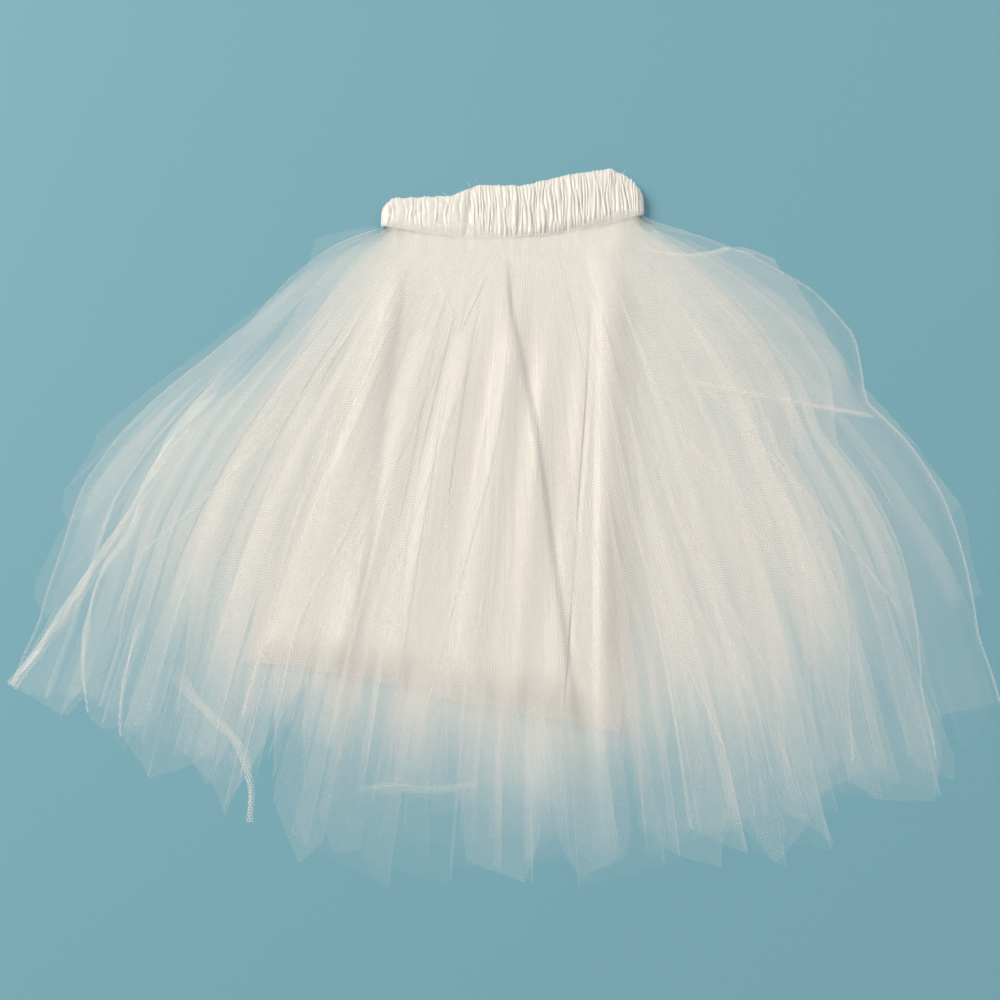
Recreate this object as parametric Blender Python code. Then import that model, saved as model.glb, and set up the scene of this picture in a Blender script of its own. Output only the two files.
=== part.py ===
"""Ballet tutu laid flat: a ruched waistband, three gathered tulle layers and a satin lining.

Every layer is a sewn tube pressed flat, so it has a front sheet and a back sheet joined at two
side folds. The tubes lie inside one another. The front sheets rise in pleats that fan out from
the waist seam; the outermost back sheet rests flat on the surface at z = 0.
Units are metres. +X is the wearer's left, +Y points from hem to waist, +Z up.
"""
import math

import bpy
import numpy as np

# Walls and the stack of sheets at the waist seam
WALL = 0.0010                 # thickness of one sheet
SEAM_GAP = 0.0003             # clearance between neighbouring pieces
SHEET_PITCH = WALL + SEAM_GAP
SHEET_COUNT = 8               # four tubes, each with a back and a front sheet
STACK_HEIGHT = SHEET_COUNT * WALL + (SHEET_COUNT - 1) * SEAM_GAP

# Waist seam, where the gathered edges meet the band
WAIST_LEFT = -0.1000          # x of the left side fold at the seam
WAIST_RIGHT = 0.1125          # x of the right side fold at the seam
WAIST_INSET = 0.0028          # each inner tube's side folds start this much further in
SEAM_BASE = 0.2272            # y of the seam at x = 0
SEAM_SLOPE = 0.0317
SEAM_CURVE = 1.292            # per metre, the seam bows towards the hem

# Fan of pleats, measured from one centre inside the waistband
FAN_X = 0.0055
FAN_Y = 0.2420
MIDDLE_REACH = 0.50           # how far along its chord a straight pleat's control point lies
SIDE_REACH = 0.12             # the extra share at a side fold

# The tulle's side folds wave in and out: share of the way to the hem, and the push outwards
# from the smooth curve at the left and right side folds
SIDE_WAVES = (
    {"share": 0.00, "left": 0.000, "right": 0.000},
    {"share": 0.03, "left": 0.003, "right": 0.001},
    {"share": 0.08, "left": 0.022, "right": 0.014},
    {"share": 0.16, "left": 0.003, "right": 0.024},
    {"share": 0.26, "left": -0.013, "right": 0.031},
    {"share": 0.36, "left": -0.010, "right": 0.028},
    {"share": 0.46, "left": 0.004, "right": -0.006},
    {"share": 0.56, "left": 0.012, "right": 0.008},
    {"share": 0.66, "left": 0.016, "right": 0.018},
    {"share": 0.76, "left": -0.006, "right": 0.014},
    {"share": 0.89, "left": -0.012, "right": -0.008},
    {"share": 1.00, "left": 0.000, "right": 0.000},
)
SIDE_WAVE_FADE = 5            # power of the fade from a side fold towards the middle

# Loft of the front sheets over the distance from the waist seam
LOFT_DISTANCE = (0.000, 0.015, 0.040, 0.080, 0.140, 0.220, 0.340, 0.440, 0.560)
LOFT_SHARE = (0.06, 0.28, 0.58, 0.84, 1.00, 0.96, 0.78, 0.62, 0.50)
LOFT_SIDE = 0.120             # the loft grows over this width in from the side folds
LOFT_SIDE_SHARE = 0.20        # share of the loft left at the side folds
SHEET_SLACK = 0.0020          # extra room between lofted sheets

# Side folds: round and full at the waist, thin where only the outer sheets reach
EDGE_THIN = 0.0026            # rise of a thin side fold between its two sheets
EDGE_START = 0.10             # distance from the seam where side folds begin to thin
EDGE_END = 0.26               # distance from the seam where they are thin
EDGE_WIDTH = 0.020            # a front sheet climbs from its side fold over this width
EDGE_SQUARE = 0.04            # side folds face straight sideways only this near the seam
EDGE_TURN_DEGREES = (45.0, 90.0, 135.0)

# Rings of each tube, as shares of the way from waist to hem
OUTER_RINGS = (0.0, 0.03, 0.08, 0.16, 0.26, 0.36, 0.46, 0.56, 0.66, 0.76, 0.89, 1.0)
INNER_RINGS = (0.0, 0.03, 0.08, 0.17, 0.32, 0.54, 0.78, 1.0)
LINING_RINGS = (0.0, 0.05, 0.16, 0.35, 0.60, 0.82, 1.0)

# Waistband
BAND_RIBS = 72                # gathers across the front
BAND_RIB_HEIGHT = 0.0013
BAND_EDGE_DROP = 0.0013       # the band rolls down this far at its two edges
BAND_BACK_POINTS = 20
BAND_INNER_GAP = 0.0003       # the pressed band's two walls lie this far apart
# Sections across the band: x, y of the top edge, rise of the front wall, share of rib height
BAND_SECTIONS = (
    {"x": -0.1050, "top": 0.2530, "lift": 0.0000, "ribs": 0.35},
    {"x": -0.0960, "top": 0.2625, "lift": 0.0002, "ribs": 0.45},
    {"x": -0.0450, "top": 0.2650, "lift": 0.0006, "ribs": 0.50},
    {"x": -0.0240, "top": 0.2750, "lift": 0.0000, "ribs": 0.80},
    {"x": 0.0150, "top": 0.2745, "lift": 0.0010, "ribs": 1.00},
    {"x": 0.0550, "top": 0.2850, "lift": 0.0022, "ribs": 1.00},
    {"x": 0.0900, "top": 0.2905, "lift": 0.0018, "ribs": 0.95},
    {"x": 0.1080, "top": 0.2800, "lift": 0.0004, "ribs": 0.80},
    {"x": 0.1180, "top": 0.2650, "lift": 0.0000, "ribs": 0.60},
)
BAND_ROWS = (0.0, 0.14, 0.86, 1.0)

# Pleats, left to right. Angle in degrees from straight down, reach of the crest's hem corner,
# reach of the notch after it, both in metres from the fan centre, and share of the full height.
FOLD_COLUMNS = ("angle", "reach", "notch", "height")
OUTER_FRONT = (
    (-42.6, 0.545, 0.528, 1.0), (-39.5, 0.534, 0.504, 0.6), (-36.4, 0.519, 0.500, 0.8),
    (-33.6, 0.524, 0.508, 0.9), (-30.5, 0.532, 0.502, 0.7), (-27.6, 0.513, 0.496, 0.9),
    (-24.2, 0.515, 0.494, 0.5), (-21.6, 0.529, 0.430, 1.0), (-17.6, 0.468, 0.452, 0.5),
    (-13.8, 0.486, 0.466, 0.9), (-9.2, 0.478, 0.470, 0.7), (-5.6, 0.488, 0.474, 1.0),
    (-1.4, 0.500, 0.488, 0.4), (2.6, 0.516, 0.492, 1.0), (7.4, 0.520, 0.500, 0.9),
    (11.2, 0.528, 0.504, 0.6), (16.4, 0.538, 0.514, 1.0), (20.2, 0.556, 0.530, 0.7),
    (24.8, 0.558, 0.514, 1.0), (29.2, 0.543, 0.524, 0.8), (33.4, 0.566, 0.530, 1.0),
    (38.2, 0.550, 0.522, 0.8),
)
OUTER_BACK = (
    (-40.0, 0.525, 0.505, 0.0), (-34.0, 0.515, 0.497, 0.0), (-28.0, 0.510, 0.490, 0.0),
    (-23.0, 0.498, 0.440, 0.0), (-16.9, 0.540, 0.524, 0.0), (-11.0, 0.5425, 0.528, 0.0),
    (-5.0, 0.5345, 0.522, 0.0), (1.0, 0.5325, 0.518, 0.0), (7.0, 0.5365, 0.516, 0.0),
    (13.0, 0.530, 0.510, 0.0), (19.0, 0.540, 0.515, 0.0), (25.0, 0.540, 0.512, 0.0),
    (31.0, 0.545, 0.520, 0.0), (37.0, 0.540, 0.520, 0.0),
)
MIDDLE_FRONT = (
    (-36.5, 0.512, 0.485, 0.7), (-32.0, 0.500, 0.480, 0.9), (-27.5, 0.505, 0.470, 0.8),
    (-23.0, 0.490, 0.410, 0.9), (-18.0, 0.490, 0.462, 0.7), (-13.0, 0.505, 0.488, 0.9),
    (-8.0, 0.510, 0.494, 0.8), (-3.0, 0.505, 0.490, 1.0), (2.0, 0.515, 0.498, 0.8),
    (7.0, 0.510, 0.490, 0.9), (12.0, 0.530, 0.505, 1.0), (17.0, 0.525, 0.500, 0.8),
    (22.0, 0.535, 0.510, 0.9), (27.0, 0.530, 0.505, 0.8), (31.5, 0.545, 0.522, 0.9),
)
MIDDLE_BACK = (
    (-34.0, 0.500, 0.480, 0.8), (-28.0, 0.490, 0.470, 0.7), (-22.0, 0.480, 0.420, 0.9),
    (-16.0, 0.515, 0.498, 0.8), (-9.0, 0.520, 0.502, 0.7), (-2.0, 0.518, 0.500, 0.9),
    (5.0, 0.522, 0.503, 0.8), (12.0, 0.520, 0.500, 0.7), (19.0, 0.520, 0.500, 0.9),
    (26.0, 0.530, 0.508, 0.8), (31.0, 0.535, 0.518, 0.7),
)
INNER_FRONT = (
    (-30.5, 0.485, 0.460, 0.8), (-26.0, 0.475, 0.450, 0.9), (-21.5, 0.450, 0.400, 0.7),
    (-17.0, 0.460, 0.440, 0.9), (-12.0, 0.470, 0.455, 0.8), (-7.0, 0.475, 0.460, 1.0),
    (-2.0, 0.480, 0.465, 0.8), (3.0, 0.475, 0.460, 0.9), (8.0, 0.485, 0.465, 1.0),
    (13.0, 0.490, 0.470, 0.8), (18.0, 0.495, 0.475, 0.9), (22.5, 0.505, 0.485, 0.8),
    (26.5, 0.510, 0.490, 0.7),
)
INNER_BACK = (
    (-28.5, 0.475, 0.455, 0.8), (-21.0, 0.455, 0.420, 0.7), (-14.0, 0.465, 0.450, 0.9),
    (-6.0, 0.470, 0.455, 0.8), (2.0, 0.475, 0.460, 0.9), (10.0, 0.480, 0.462, 0.8),
    (18.0, 0.490, 0.470, 0.9), (25.0, 0.500, 0.480, 0.7),
)
LINING_FRONT = (
    (-25.0, 0.412, 0.404, 0.9), (-19.0, 0.402, 0.398, 0.7), (-12.5, 0.398, 0.400, 1.0),
    (-6.0, 0.404, 0.406, 0.8), (0.0, 0.411, 0.410, 1.0), (6.0, 0.418, 0.422, 0.9),
)
LINING_BACK = (
    (-24.0, 0.408, 0.404, 0.8), (-15.0, 0.400, 0.398, 0.7), (-6.0, 0.402, 0.404, 0.9),
    (3.0, 0.410, 0.414, 0.8),
)

# Tubes from the outermost to the innermost: the two side folds' hem corners (angle, reach), the
# degrees by which the side folds set off outwards from their chords, the share of the side waves,
# the rings, and the front and back pleats with their full heights
TUBES = (
    {"name": "tulle_outer", "left": (-44.8, 0.5455), "right": (42.9, 0.5475), "swing": 28.0, "waves": 1.0,
     "rings": OUTER_RINGS,
     "front": OUTER_FRONT, "front_height": 0.0095, "back": OUTER_BACK, "back_height": 0.0},
    {"name": "tulle_middle", "left": (-40.0, 0.512), "right": (35.8, 0.546), "swing": 28.0, "waves": 1.0,
     "rings": INNER_RINGS,
     "front": MIDDLE_FRONT, "front_height": 0.0080, "back": MIDDLE_BACK, "back_height": 0.0},
    {"name": "tulle_inner", "left": (-34.0, 0.482), "right": (30.0, 0.512), "swing": 26.0, "waves": 0.8,
     "rings": INNER_RINGS,
     "front": INNER_FRONT, "front_height": 0.0070, "back": INNER_BACK, "back_height": 0.0},
    {"name": "lining", "left": (-29.5, 0.4235), "right": (10.8, 0.4306), "swing": 3.0, "waves": 0.0,
     "rings": LINING_RINGS,
     "front": LINING_FRONT, "front_height": 0.0040, "back": LINING_BACK, "back_height": 0.0},
)

# Finishes: base colour, roughness
FINISHES = {
    "tulle_outer": ((0.86, 0.87, 0.86, 1.0), 0.75),
    "tulle_middle": ((0.84, 0.86, 0.86, 1.0), 0.75),
    "tulle_inner": ((0.82, 0.84, 0.85, 1.0), 0.75),
    "lining": ((0.87, 0.84, 0.78, 1.0), 0.40),
    "waistband": ((0.88, 0.85, 0.78, 1.0), 0.35),
}


def smooth_ramp(value, start, end):
    """0 below start, 1 above end, and a smooth rise between them."""
    share = np.clip((np.asarray(value, float) - start) / (end - start), 0.0, 1.0)
    return share * share * (3.0 - 2.0 * share)


def seam_y(x):
    """The waist seam's y at a place across the waist."""
    return SEAM_BASE + SEAM_SLOPE * x + SEAM_CURVE * x * x


def fan_point(angle, reach):
    """A hem corner, from its angle in degrees and its reach from the fan centre."""
    turn = math.radians(angle)
    return np.array((FAN_X + reach * math.sin(turn), FAN_Y - reach * math.cos(turn)))


def pleat_line(tube, waist_x, angle, reach, rings):
    """Plan of one pleat line, a quadratic curve that swings outwards near the side folds."""
    start = np.array((waist_x, seam_y(waist_x) - SEAM_GAP))
    end = fan_point(angle, reach)
    side_name = "right" if angle > 0 else "left"
    side = np.clip(angle / abs(tube[side_name][0]), -1.0, 1.0)
    swing = math.radians(tube["swing"]) * side * abs(side)
    chord = (end - start) * (MIDDLE_REACH + SIDE_REACH * side * side)
    control = start + np.array((chord[0] * math.cos(swing) - chord[1] * math.sin(swing),
                                chord[0] * math.sin(swing) + chord[1] * math.cos(swing)))
    share = np.asarray(rings)[:, None]
    line = (1 - share) ** 2 * start + 2 * share * (1 - share) * control + share ** 2 * end
    push = np.interp(rings, [row["share"] for row in SIDE_WAVES],
                     [row[side_name] for row in SIDE_WAVES])
    push *= tube["waves"] * abs(side) ** SIDE_WAVE_FADE
    outward = np.array((-chord[1], chord[0])) * (1.0 if angle > 0 else -1.0)
    return line + outward / np.linalg.norm(outward) * push[:, None]


def tube_waist(tube, across):
    """The x of a place along a tube's waist edge, from its left side fold (0) to its right (1)."""
    inset = TUBES.index(tube) * WAIST_INSET
    return WAIST_LEFT + inset + (WAIST_RIGHT - WAIST_LEFT - 2 * inset) * across


def sheet_lines(tube, folds):
    """Every pleat line of one sheet from left to right, with its share of the pleat height."""
    marks = [(*tube["left"], 0.0)]
    rows = [dict(zip(FOLD_COLUMNS, row)) for row in folds]
    for number, row in enumerate(rows):
        marks.append((row["angle"], row["reach"], row["height"]))
        if number + 1 < len(rows):
            marks.append(((row["angle"] + rows[number + 1]["angle"]) / 2, row["notch"], 0.0))
    marks.append((*tube["right"], 0.0))
    lines = []
    heights = []
    for number, mark in enumerate(marks):
        for half in (0.0, 0.5):
            if half and number + 1 == len(marks):
                continue
            after = marks[min(number + 1, len(marks) - 1)]
            angle, reach, height = (first + (second - first) * half
                                    for first, second in zip(mark, after))
            across = (number + half) / (len(marks) - 1)
            waist_x = tube_waist(tube, across)
            lines.append(pleat_line(tube, waist_x, angle, reach, tube["rings"]))
            heights.append(height)
    return np.array(lines), np.array(heights)


def seam_distance(x, y):
    """Distance in plan from the waist seam."""
    nearest = np.clip(x, WAIST_LEFT, WAIST_RIGHT)
    return np.hypot(x - nearest, np.minimum(y - seam_y(nearest), 0.0))


def side_distance(tube, x, y):
    """Distance in plan from the nearer side fold of a tube."""
    rings = np.linspace(0.0, 1.0, 25)
    left = pleat_line(tube, tube_waist(tube, 0.0), *tube["left"], rings)
    right = pleat_line(tube, tube_waist(tube, 1.0), *tube["right"], rings)
    from_left = x - np.interp(y, left[::-1, 1], left[::-1, 0])
    from_right = np.interp(y, right[::-1, 1], right[::-1, 0]) - x
    return np.minimum(from_left, from_right)


def loft(x, y):
    """Share of the full pleat height that a front sheet has at a place in plan."""
    along = np.interp(seam_distance(x, y), LOFT_DISTANCE, LOFT_SHARE)
    across = smooth_ramp(side_distance(TUBES[0], x, y), 0.0, LOFT_SIDE)
    return along * (LOFT_SIDE_SHARE + (1.0 - LOFT_SIDE_SHARE) * across)


def back_level(layer):
    """Height of the middle of a back sheet's wall; layer 0 is the outermost tube."""
    return WALL / 2 + layer * SHEET_PITCH


def edge_rise(layer, x, y):
    """Rise from the back sheet to the front sheet along a tube's side fold."""
    full = STACK_HEIGHT - WALL - 2 * layer * SHEET_PITCH
    thinning = smooth_ramp(seam_distance(x, y), EDGE_START, EDGE_END)
    return full + (min(EDGE_THIN, full) - full) * thinning


def front_height(layer, x, y, crest):
    """Height of the middle of a front sheet's wall."""
    tube = TUBES[layer]
    inside = smooth_ramp(side_distance(tube, x, y), 0.0, EDGE_WIDTH)
    full = STACK_HEIGHT - WALL - 2 * layer * SHEET_PITCH
    rise = edge_rise(layer, x, y)
    level = back_level(layer) + rise + (full - rise) * inside
    below = sum(inner["front_height"] + SHEET_SLACK for inner in TUBES[layer + 1:])
    return level + loft(x, y) * inside * (below + tube["front_height"] * crest)


def edge_turn(layer, line, outward_sign):
    """The rounded side fold: rows of points from the front sheet round to the back sheet."""
    x, y = line[:, 0], line[:, 1]
    ahead = np.gradient(line, axis=0)
    ahead /= np.linalg.norm(ahead, axis=1)[:, None]
    square = np.stack((ahead[:, 1], -ahead[:, 0]), axis=1)
    square *= np.sign(square[:, :1] * outward_sign + 1e-9)
    straight = np.array((outward_sign, 0.0))
    blend = smooth_ramp(seam_distance(x, y), 0.0, EDGE_SQUARE)[:, None]
    outward = straight * (1 - blend) + square * blend
    outward /= np.linalg.norm(outward, axis=1)[:, None]
    radius = edge_rise(layer, x, y) / 2
    turn_points = []
    for degrees in EDGE_TURN_DEGREES:
        turn = math.radians(degrees)
        plan = line + outward * (radius * math.sin(turn))[:, None]
        height = back_level(layer) + radius + radius * math.cos(turn)
        turn_points.append(np.column_stack((plan, height)))
    return turn_points


def tube_surface(layer):
    """Middle of a tube's wall, as points[ring, place round the tube, xyz]."""
    tube = TUBES[layer]
    front_lines, crests = sheet_lines(tube, tube["front"])
    back_lines, swells = sheet_lines(tube, tube["back"])
    columns = []
    for line, crest in zip(front_lines, crests):
        height = front_height(layer, line[:, 0], line[:, 1], crest)
        columns.append(np.column_stack((line, height)))
    columns += edge_turn(layer, front_lines[-1], 1.0)
    for line, swell in zip(back_lines[::-1], swells[::-1]):
        height = np.full(len(line), back_level(layer)) + tube["back_height"] * swell
        columns.append(np.column_stack((line, height)))
    columns += edge_turn(layer, front_lines[0], -1.0)[::-1]
    return np.stack(columns, axis=1)


def wall_normals(points):
    """Unit directions out of a tube's surface at each of its points."""
    around = np.roll(points, -1, axis=1) - np.roll(points, 1, axis=1)
    along = np.gradient(points, axis=0)
    normals = np.cross(along, around)
    return normals / np.linalg.norm(normals, axis=2)[:, :, None]


def add_object(name, vertices, triangles):
    """A mesh object with its own material."""
    mesh = bpy.data.meshes.new(name)
    mesh.from_pydata([tuple(vertex) for vertex in vertices], [], triangles)
    mesh.validate()
    mesh.shade_smooth()
    mesh.set_sharp_from_angle(angle=math.radians(50.0))
    colour, roughness = FINISHES[name]
    material = bpy.data.materials.new(name)
    material.use_nodes = True
    shader = material.node_tree.nodes["Principled BSDF"]
    shader.inputs["Base Color"].default_value = colour
    shader.inputs["Roughness"].default_value = roughness
    shader.inputs["Metallic"].default_value = 0.0
    mesh.materials.append(material)
    built = bpy.data.objects.new(name, mesh)
    bpy.context.collection.objects.link(built)
    return built


def walled_tube(name, outside, inside):
    """A closed wall between two nested surfaces that have the same rings and places."""
    rings, places = outside.shape[:2]
    vertices = np.concatenate((outside.reshape(-1, 3), inside.reshape(-1, 3)))
    offset = rings * places
    triangles = []

    def quad(a, b, c, d):
        triangles.extend(((a, b, c), (a, c, d)))

    for place in range(places):
        after = (place + 1) % places
        for ring in range(rings - 1):
            a, b = ring * places + place, ring * places + after
            c, d = b + places, a + places
            quad(a, d, c, b)
            triangles.extend(((offset + a, offset + c, offset + d),
                              (offset + a, offset + b, offset + c)))
        last = (rings - 1) * places
        quad(place, after, offset + after, offset + place)
        quad(last + place, offset + last + place, offset + last + after, last + after)
    return add_object(name, vertices, triangles)


def build_layer(layer):
    """One gathered tube with its wall."""
    middle = tube_surface(layer)
    offset = wall_normals(middle) * WALL / 2
    return walled_tube(TUBES[layer]["name"], middle + offset, middle - offset)


def band_section(x, column):
    """A value across the band, read between the rows of its table."""
    return np.interp(x, [row["x"] for row in BAND_SECTIONS],
                     [row[column] for row in BAND_SECTIONS])


def band_loop(row, outer):
    """One ring of the band's outer or inner face, from the seam edge (0) to the top edge (1)."""
    edge = abs(2 * row - 1) ** 6
    half_stack = STACK_HEIGHT / 2
    radius = half_stack - BAND_EDGE_DROP * edge if outer else BAND_INNER_GAP / 2
    loop = []
    steps = 2 * BAND_RIBS
    for step in range(steps + 1):
        x = WAIST_LEFT + (WAIST_RIGHT - WAIST_LEFT) * step / steps
        rib = BAND_RIB_HEIGHT * band_section(x, "ribs") * (step % 2) * (1 - 0.6 * edge)
        lift = band_section(x, "lift") * (1 - edge)
        loop.append((x, half_stack + radius + (rib + lift if outer else 0.0)))
    for degrees in EDGE_TURN_DEGREES:
        turn = math.radians(degrees)
        loop.append((WAIST_RIGHT + radius * math.sin(turn), half_stack + radius * math.cos(turn)))
    for step in range(BAND_BACK_POINTS + 1):
        x = WAIST_RIGHT + (WAIST_LEFT - WAIST_RIGHT) * step / BAND_BACK_POINTS
        loop.append((x, 0.0 if outer else half_stack - radius))
    for degrees in EDGE_TURN_DEGREES[::-1]:
        turn = math.radians(degrees)
        loop.append((WAIST_LEFT - radius * math.sin(turn), half_stack + radius * math.cos(turn)))
    loop = np.array(loop)
    low = seam_y(loop[:, 0])
    y = low + (band_section(loop[:, 0], "top") - low) * row
    return np.column_stack((loop[:, 0], y, loop[:, 1]))


def build_band():
    """The ruched casing: a short pressed tube with ribs across its front."""
    outside = np.array([band_loop(row, True) for row in BAND_ROWS])
    inside = np.array([band_loop(row, False) for row in BAND_ROWS])
    return walled_tube("waistband", outside[::-1], inside[::-1])


def build_tutu():
    for old in list(bpy.data.objects):
        bpy.data.objects.remove(old, do_unlink=True)
    for layer in range(len(TUBES)):
        build_layer(layer)
    build_band()


build_tutu()
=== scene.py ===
"""Looks of the ballet tutu that lies flat: folded net, satin lining and a ruched waistband.

All sizes are in metres, in the frame of the CAD model: +X across the skirt, +Y from hem to waist,
+Z up. Every skirt layer is a sewn tube pressed flat, so it has a front sheet and a back sheet that
meet at two side folds. Fold lines fan out from the waist seam. Between them the cloth runs
forward, and at each lap it runs a short way back under or over itself.
"""
import math

import bpy
import numpy as np
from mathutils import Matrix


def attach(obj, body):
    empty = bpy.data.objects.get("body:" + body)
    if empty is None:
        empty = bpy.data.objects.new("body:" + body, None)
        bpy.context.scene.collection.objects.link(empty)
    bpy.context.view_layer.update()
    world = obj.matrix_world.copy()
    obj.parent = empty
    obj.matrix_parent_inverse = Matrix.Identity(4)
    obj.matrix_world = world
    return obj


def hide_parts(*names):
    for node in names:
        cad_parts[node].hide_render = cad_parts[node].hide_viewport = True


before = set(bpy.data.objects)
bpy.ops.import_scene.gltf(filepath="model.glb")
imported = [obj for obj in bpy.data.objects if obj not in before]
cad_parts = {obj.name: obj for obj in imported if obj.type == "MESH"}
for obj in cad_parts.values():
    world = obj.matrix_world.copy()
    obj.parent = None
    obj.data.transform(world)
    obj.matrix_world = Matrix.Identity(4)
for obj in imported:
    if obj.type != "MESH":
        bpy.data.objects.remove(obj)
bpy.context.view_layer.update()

# ---- Sizes shared with the CAD model ----
WALL = 0.0010
SHEET_PITCH = 0.0013
STACK_HEIGHT = 0.0101
SEAM_GAP = 0.0003
WAIST_LEFT = -0.1000
WAIST_RIGHT = 0.1125
WAIST_INSET = 0.0028
SEAM_BASE, SEAM_SLOPE, SEAM_CURVE = 0.2272, 0.0317, 1.292
FAN_X, FAN_Y = 0.0055, 0.2420
MIDDLE_REACH, SIDE_REACH = 0.50, 0.12
SIDE_WAVE_FADE = 5
LOFT_DISTANCE = (0.000, 0.015, 0.040, 0.080, 0.140, 0.220, 0.340, 0.440, 0.560)
LOFT_SHARE = (0.06, 0.28, 0.58, 0.84, 1.00, 0.96, 0.78, 0.62, 0.50)
LOFT_SIDE, LOFT_SIDE_SHARE = 0.120, 0.20
SHEET_SLACK = 0.0020
EDGE_THIN, EDGE_START, EDGE_END = 0.0026, 0.004, 0.06
EDGE_WIDTH, EDGE_SQUARE = 0.020, 0.04

# Waistband: x, y of the top edge, rise of the front wall, height of its ribs
BAND_SECTIONS = np.array((
    (-0.105, 0.253, 0.0, 0.0005), (-0.096, 0.2625, 0.0002, 0.0006),
    (-0.045, 0.265, 0.0006, 0.0007), (-0.024, 0.275, 0.0, 0.0011),
    (0.015, 0.2745, 0.001, 0.0013), (0.055, 0.285, 0.0022, 0.0013),
    (0.09, 0.2905, 0.0018, 0.0013), (0.108, 0.28, 0.0004, 0.0011),
    (0.118, 0.265, 0.0, 0.0008),
))
BAND_EDGE_DROP = 0.0013
RIB_CHANGE = -0.0300  # x where the flat, coarse ribs of the left give way to fine ones
RIB_PITCH_LEFT, RIB_PITCH_RIGHT = 0.0046, 0.0028
RIB_SHARES = (0.0, 0.10, 0.28, 0.50, 0.72, 0.90)  # mesh columns across a rib
RIB_LEAN, RIB_LEAN_WAVES = 0.55, (0.012, 0.027, 0.065)
STRONG_RIBS, STRONG_RIB = 0.18, 1.5  # share of the ribs that stand out, and how far
RIB_LEAST, RIB_MOST = 0.15, 1.7  # limits of how a rib's height comes and goes
BACK_RIB_HEIGHT = 0.0007
RIB_CHANGES = (1.9, 3.7, 7.1)  # numbers of ribs over which their height comes and goes
CRINKLES = (0.0031, 0.0044, 0.0067)  # waves of the small crinkles over the ribs
PUCKERS = (0.0029, 0.0041)  # waves of the puckers at the stitched seam
PUCKER_ROW, PUCKER_REACH = 0.12, 0.09  # where they sit, as shares of the band's height
DENT_HEIGHT, DENT_WAVES = 0.00035, (0.011, 0.024)
FRILL_HEIGHT, FRILL_WAVES = 0.0010, (0.0023, 0.0035, 0.012)  # uneven top edge
FOLD_X, FOLD_WIDTH, FOLD_DEPTH, FOLD_LEAN = -0.0335, 0.0030, 0.0018, 0.006  # its one deep fold
BAND_ROWS = 34
# Rolled top edge: share of the band's thickness, and climb over its front's top row
BAND_CAP = ((0.86, 0.0006), (0.55, 0.0010), (0.20, 0.0008), (0.05, -0.0020), (0.04, -0.0100))
THREAD_RADIUS = 0.00034
THREAD_ROOT = 0.002  # length of a frayed thread that is hidden in the band
# Frayed threads: x where each leaves the top edge, its rise, its reach across and up, its bow
THREADS = (
    (-0.0475, 0.001, -0.006, 0.0035, 0.0012), (-0.042, 0.0005, 0.005, 0.0045, -0.001),
    (-0.029, 0.002, -0.0045, 0.006, 0.001), (-0.025, 0.001, 0.002, 0.007, -0.0015),
    (-0.027, 0.0, 0.006, 0.004, 0.0008), (0.098, 0.0015, 0.005, 0.0035, -0.0008),
)
# The net's gathered heading: x, and how far its top edge lies up on the band over the seam
HEADING = np.array((
    (-0.104, 0.002), (-0.095, 0.0045), (-0.084, 0.008), (-0.0675, 0.0065), (-0.055, 0.01),
    (-0.038, 0.0128), (-0.0255, 0.011), (-0.0154, 0.005), (-0.0045, 0.0005), (0.0123, -0.002),
    (0.0332, -0.003), (0.0458, -0.002), (0.0585, 0.001), (0.0712, 0.004), (0.0839, 0.0066),
    (0.0966, 0.007), (0.106, 0.006), (0.1165, 0.003),
))
HEADING_START = -0.034  # where it sets in on the skirt, from the seam
HEADING_OVERHANG = 0.004  # how far it stands out past both ends of the seam
HEADING_PLIES = 6.0
HEADING_THREADS, HEADING_UPRIGHT = 0.5, 0.6
HEADING_LUMP, HEADING_LUMP_WAVES = 0.0012, (0.011, 0.019, 0.041)
HEADING_PUFF = 0.0016
HEADING_CLEARANCE = 0.0014  # of the band's ribs
HEADING_ROWS, HEADING_COLUMNS = 16, 260

# Waves of the net's side folds: share of the way to the hem, push out at the left and right. The
# loose flaps stand out past them, so they lie a little further in than the CAD model's walls
SIDE_WAVES = np.array((
    (0.0, 0.0, 0.0), (0.03, 0.002, 0.001), (0.08, 0.008, 0.014), (0.16, 0.001, 0.024),
    (0.26, -0.013, 0.031), (0.36, -0.014, 0.024), (0.46, -0.008, -0.008), (0.56, -0.004, 0.0),
    (0.66, -0.002, 0.002), (0.76, -0.01, -0.002), (0.89, -0.012, -0.01), (1.0, 0.0, 0.0),
))

# Hem corners of each sheet from left to right: angle from straight down in degrees, reach of the
# corner and of the notch after it, from the fan centre
OUTER_FRONT = (
    (-42.6, 0.545, 0.528), (-39.5, 0.534, 0.504), (-36.4, 0.519, 0.5), (-33.6, 0.524, 0.508),
    (-30.5, 0.532, 0.502), (-27.6, 0.513, 0.496), (-25.4, 0.515, 0.494), (-23.2, 0.522, 0.422),
    (-19.2, 0.468, 0.452), (-13.8, 0.486, 0.466), (-9.2, 0.478, 0.47), (-5.6, 0.488, 0.474),
    (-1.4, 0.5, 0.488), (2.6, 0.516, 0.492), (7.4, 0.52, 0.5), (11.2, 0.528, 0.504),
    (16.4, 0.538, 0.514), (20.2, 0.556, 0.53), (24.8, 0.558, 0.514), (29.2, 0.543, 0.524),
    (33.4, 0.566, 0.53), (38.2, 0.55, 0.522),
)
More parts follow.
